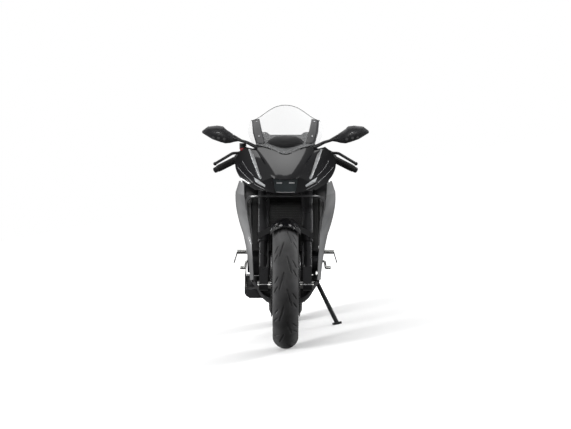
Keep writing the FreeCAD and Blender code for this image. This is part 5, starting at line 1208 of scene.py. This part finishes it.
def chainLink(level, thick, axle):
    # two plates, and a roller or a pin at each end
    end = chain["pitch"] / 2000
    points, faces = [], []
    for (some, sides), shift in (
        (linkPlate(level, thick), 0), (linkPlate(-level, thick), 0), (axle, end), (axle, -end)
    ):
        faces += [tuple(i + len(points) for i in side) for side in sides]
        points += [(x + shift, y, z) for x, y, z in some]
    return points, faces


def makeChain():
    pins = chainPath()
    plate, inner = chain["plate"] / 1000, chain["inner"] / 2000
    roller = rod(chain["rollerSides"], [(s * inner, chain["roller"] / 1000) for s in (-1, 1)])
    pin = rod(chain["pinSides"], [(s * chain["pinHalf"] / 1000, chain["pin"] / 1000) for s in (-1, 1)])
    links = [[], []]
    for k, a in enumerate(pins):
        b = pins[(k + 1) % len(pins)]
        middle, along = (a + b) / 2, b - a
        place = spot(chain["x"], middle.x, middle.y)
        links[k % 2].append((place, heading(1, 0, 0), heading(0, along.x, along.y)))
    innerLink = chainLink(inner + plate / 2, plate, roller)
    outerLink = chainLink(inner + plate * chain["outerPlate"], plate, pin)
    first = repeated("chain_inner_links", innerLink, links[0], "chainSteel", "chassis")
    second = repeated("chain_outer_links", outerLink, links[1], "chainSteel", "chassis")
    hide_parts("drive_chain")
    print("chain of", len(pins), "links")


makeChain()

# Brake discs: outlines drawn as flat curves, filled, then given their thickness

discs = {
    "front_discs": {
        "body": "front_wheel", "hub": (0, 299.9), "sides": (66.0, -66.0), "outer": 149.0, "inner": 114.0,
        "slot": "steel_parts",
    },
    "rear_disc": {
        "body": "rear_wheel", "hub": (1395.0, 314.9), "sides": (-82.0,), "outer": 122.0, "inner": 92.0,
        "slot": "steel_parts",
    },
}
discCut = {
    "thick": 4.8, "carrier": 56.0, "bore": 33.4, "arms": 6, "arm": 8.0, "hole": 3.0,
    "rows": (0.24, 0.5, 0.76), "turns": 36, "window": 24, "band": 7, "button": 5.5, "buttonHigh": 0.0014,
    "buttonIn": 2, "outerSides": 120, "boreSides": 60, "holeSides": 10,
}


def addOutline(curve, line, centre=(0, 0)):
    spline = curve.splines.new("POLY")
    spline.points.add(len(line) - 1)
    for point, (x, y) in zip(spline.points, line):
        point.co = (x + centre[0], y + centre[1], 0, 1)
    spline.use_cyclic_u = True


def carrierWindow(disc, k):
    # the opening between two arms
    outer, inner = disc["inner"] - discCut["band"], discCut["carrier"]
    pitch = 2 * math.pi / discCut["arms"]
    line = []
    for radius, order in ((outer, 1), (inner, -1)):
        clear = math.asin(discCut["arm"] / radius)
        first, last = k * pitch + clear, (k + 1) * pitch - clear
        line += [polar(radius, angle) for angle in evenly(first, last, discCut["window"])[::order]]
    return line


def discCurve(name, disc):
    curve = bpy.data.curves.new(name, "CURVE")
    curve.dimensions, curve.fill_mode = "2D", "BOTH"
    curve.extrude = discCut["thick"] / 2
    addOutline(curve, roundLine(disc["outer"], discCut["outerSides"]))
    addOutline(curve, roundLine(discCut["bore"], discCut["boreSides"]))
    for k in range(discCut["arms"]):
        addOutline(curve, carrierWindow(disc, k))
    hole = roundLine(discCut["hole"], discCut["holeSides"])
    for k in range(discCut["turns"]):
        for row, share in enumerate(discCut["rows"]):
            radius = disc["inner"] + (disc["outer"] - disc["inner"]) * share
            angle = 2 * math.pi * (k + row / len(discCut["rows"])) / discCut["turns"]
            addOutline(curve, hole, polar(radius, angle))
    return curve


def makeDisc(name, disc, side):
    drawn = placed(name, discCurve(name, disc))
    mesh = frozen(drawn)
    bpy.data.objects.remove(drawn)
    y, z = disc["hub"]
    turn = Matrix(((0, 0, 1), (1, 0, 0), (0, 1, 0))).to_4x4()
    mesh.transform(
        parked @ Matrix.Translation((side / 1000, y / 1000, z / 1000)) @ turn @ Matrix.Scale(0.001, 4)
    )
    piece = placed(name, mesh)
    dressed(mesh, "discSteel")
    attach(piece, disc["body"])
    outward(piece)
    return piece


def makeDiscs():
    for name, disc in discs.items():
        made = [makeDisc(f"{name}_{k + 1}", disc, side) for k, side in enumerate(disc["sides"])]
        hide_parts(name)
        y, z = disc["hub"]
        places = []
        for side in disc["sides"]:
            sign = math.copysign(1, side)
            way = heading(sign, 0, 0)
            for along, up in roundLine(disc["inner"] - discCut["buttonIn"], discCut["arms"]):
                place = spot(side + sign * discCut["thick"] / 2, y + along, z + up)
                places.append((place, way, way.orthogonal().normalized()))
        head = boltHead(discCut["button"] / 1000, discCut["buttonHigh"], False)
        repeated(name + "_buttons", head, places, "chainSteel", disc["body"])


makeDiscs()

# Screws of the side panels and tail, and bolts of the sprocket cover and top yoke

fixings = {
    "fairing": [(560, 700), (520, 480)], "tail": [(1160, 800), (1290, 850)],
    "cover": [(730, 455)], "yoke": [(105, 270)],
    "screw": (5.0, 2.0), "coverBolt": (5.0, 2.5), "yokeBolt": (4.5, 2.5),  # radius and height
}


def makeFixings():
    for sign, hand in ((1, "left"), (-1, "right")):
        for group, node in (("fairing", hand + "_fairing"), ("tail", "tail_cowl")):
            throws = fromSide(fixings[group], sign)
            screws(f"{group}_screws_{hand}", node, throws, *fixings["screw"], "satinPlastic", "chassis")
    throws = fromSide(fixings["cover"], 1)
    screws("cover_bolts", "sprocket_cover", throws, *fixings["coverBolt"], "brushedSteel", "chassis")
    throws = [((sign * x, y, startAt["over"]), (0, 0, -1)) for sign in (1, -1) for x, y in fixings["yoke"]]
    screws("yoke_bolts", "top_yoke", throws, *fixings["yokeBolt"], "brushedSteel", "steering")


makeFixings()

# Ribs round the grips

grip = {"ribs": 15, "depth": 1.1, "half": 1.5, "flat": 0.4, "sunk": 0.5, "margin": 12.0, "sides": 28}


def gripRibs(name, sign):
    cloud = cloudOf("grips")
    cloud = cloud[cloud[:, 0] * sign > 0]
    centre = (cloud.max(0) + cloud.min(0)) / 2
    axis = np.linalg.svd(cloud - cloud.mean(0), full_matrices=False)[2][0]
    axis = axis * (1 if axis[0] * sign > 0 else -1)
    along = (cloud - centre) @ axis
    low, high = along.min() + grip["margin"], along.max() - grip["margin"]
    radius = np.linalg.norm((cloud - centre) - np.outer(along, axis), axis=1).max()
    way = heading(*axis)
    side = way.orthogonal().normalized()
    half, flat = grip["half"], grip["half"] * grip["flat"]
    foot, top = radius - grip["sunk"], radius + grip["depth"]
    levels = [(-half, foot), (-flat, top), (flat, top), (half, foot)]
    ring = rod(grip["sides"], [(z / 1000, r / 1000) for z, r in levels])
    places = []
    for reach in evenly(low, high, grip["ribs"] - 1):
        places.append((spot(*(centre + axis * reach)), way, side))
    piece = repeated(name, ring, places, "gripRubber", "steering")


gripRibs("left_grip_ribs", 1)
gripRibs("right_grip_ribs", -1)

# Face and lines of the instrument, and the lines on the tail lamp's lens

dial = {
    "half": 62.0, "share": 0.42, "low": 0.16, "high": 0.86, "samples": 14, "behind": 200,
    "lines": (0.3, 0.5, 0.7), "lineShare": 0.6, "lineHigh": 2.4,
}
lens = {"half": 30.0, "rows": (893, 900), "height": 2.0, "behind": 2200}


def fromBehind(name, node, half, back, heights, material, **how):
    # a skin between two heights, thrown forwards
    edges = [[(sign * half, back, z) for z in heights] for sign in (1, -1)]
    sheetOn(name, node, edges, material, "chassis", way=(0, -1, 0), **how)


def dialFace():
    cloud = cloudOf("instrument_panel")
    low, high = cloud.min(0), cloud.max(0)
    foot, top = [low[2] + (high[2] - low[2]) * dial[k] for k in ("low", "high")]
    half = min(dial["half"], (high[0] - low[0]) * dial["share"])
    back = high[1] + dial["behind"]
    fromBehind(
        "dial_face", "instrument_panel", half, back, (foot, top), "dialGlass", lift=0.6, thick=1.2,
        samples=dial["samples"], columns=8
    )
    for k, share in enumerate(dial["lines"]):
        z = foot + (top - foot) * share
        fromBehind(
            f"dial_line_{k + 1}", "instrument_panel", half * dial["lineShare"], back,
            (z, z + dial["lineHigh"]), "paleLine", lift=1.0, thick=0.8, samples=2, columns=6
        )


def tailLines():
    for k, z in enumerate(lens["rows"]):
        fromBehind(
            f"tail_line_{k + 1}", "tail_lamp", lens["half"], lens["behind"], (z, z + lens["height"]),
            "redGlow", lift=0.5, thick=0.9, samples=2, columns=8
        )


dialFace()
tailLines()
print("discs, bolts, grips and lenses made")

# Brake hoses: from the right grip's master cylinder to a block under the bottom yoke, and on to each caliper

hoses = {
    "radius": 3.6, "block": (0, 199, 748), "blockRadius": 9.3, "blockHalf": 20, "blockSides": 24, "steps": 14,
    "caliper": [(82, 122, 365), (82, 120, 394), (82, 151, 550), (74, 224, 713), (20, 199, 748)],
    "master": [
        (-11, 199, 748), (-62, 172, 760), (-140, 167, 763), (-153, 215, 817), (-153, 260, 918),
        (-169, 291, 933), (-193, 308, 928)
    ],
}


def hose(name, line):
    return bar(name, smoothLine(line, hoses["steps"]), hoses["radius"], "satinPlastic", "steering")


def makeHoses():
    bothSides(hose, "caliper_hose", hoses["caliper"])
    hose("master_hose", hoses["master"])
    x, y, z = hoses["block"]
    ends = [(x + sign * hoses["blockHalf"], y, z) for sign in (-1, 1)]
    bar("hose_block", ends, hoses["blockRadius"], "alloyBlack", "steering", sides=hoses["blockSides"])


makeHoses()

# Belly pan's front wall, behind the exhaust

wall = {
    "place": 470.0, "low": 176, "high": 300, "rows": 13, "columns": 10, "inset": 0.5, "least": 20,
    "thick": 2.0,
}


def bellyWall():
    rows = []
    for z in evenly(wall["low"], wall["high"], wall["rows"]):
        reach = []
        for sign in (1, -1):
            place, _ = meet("belly_pan", (0, wall["place"], z), (sign, 0, 0))
            if place is not None:
                reach.append((upright @ place).x * 1000 - sign * wall["inset"])
        if len(reach) == 2 and reach[0] - reach[1] > wall["least"]:
            rows.append(frontRow(reach[1], reach[0], wall["place"], z, wall["columns"]))
    skinOf("belly_wall", rows, "satinPlastic", "chassis", wall["thick"] / 2, wall["thick"])


bellyWall()
print("hoses and belly wall made")

bpy.context.view_layer.update()
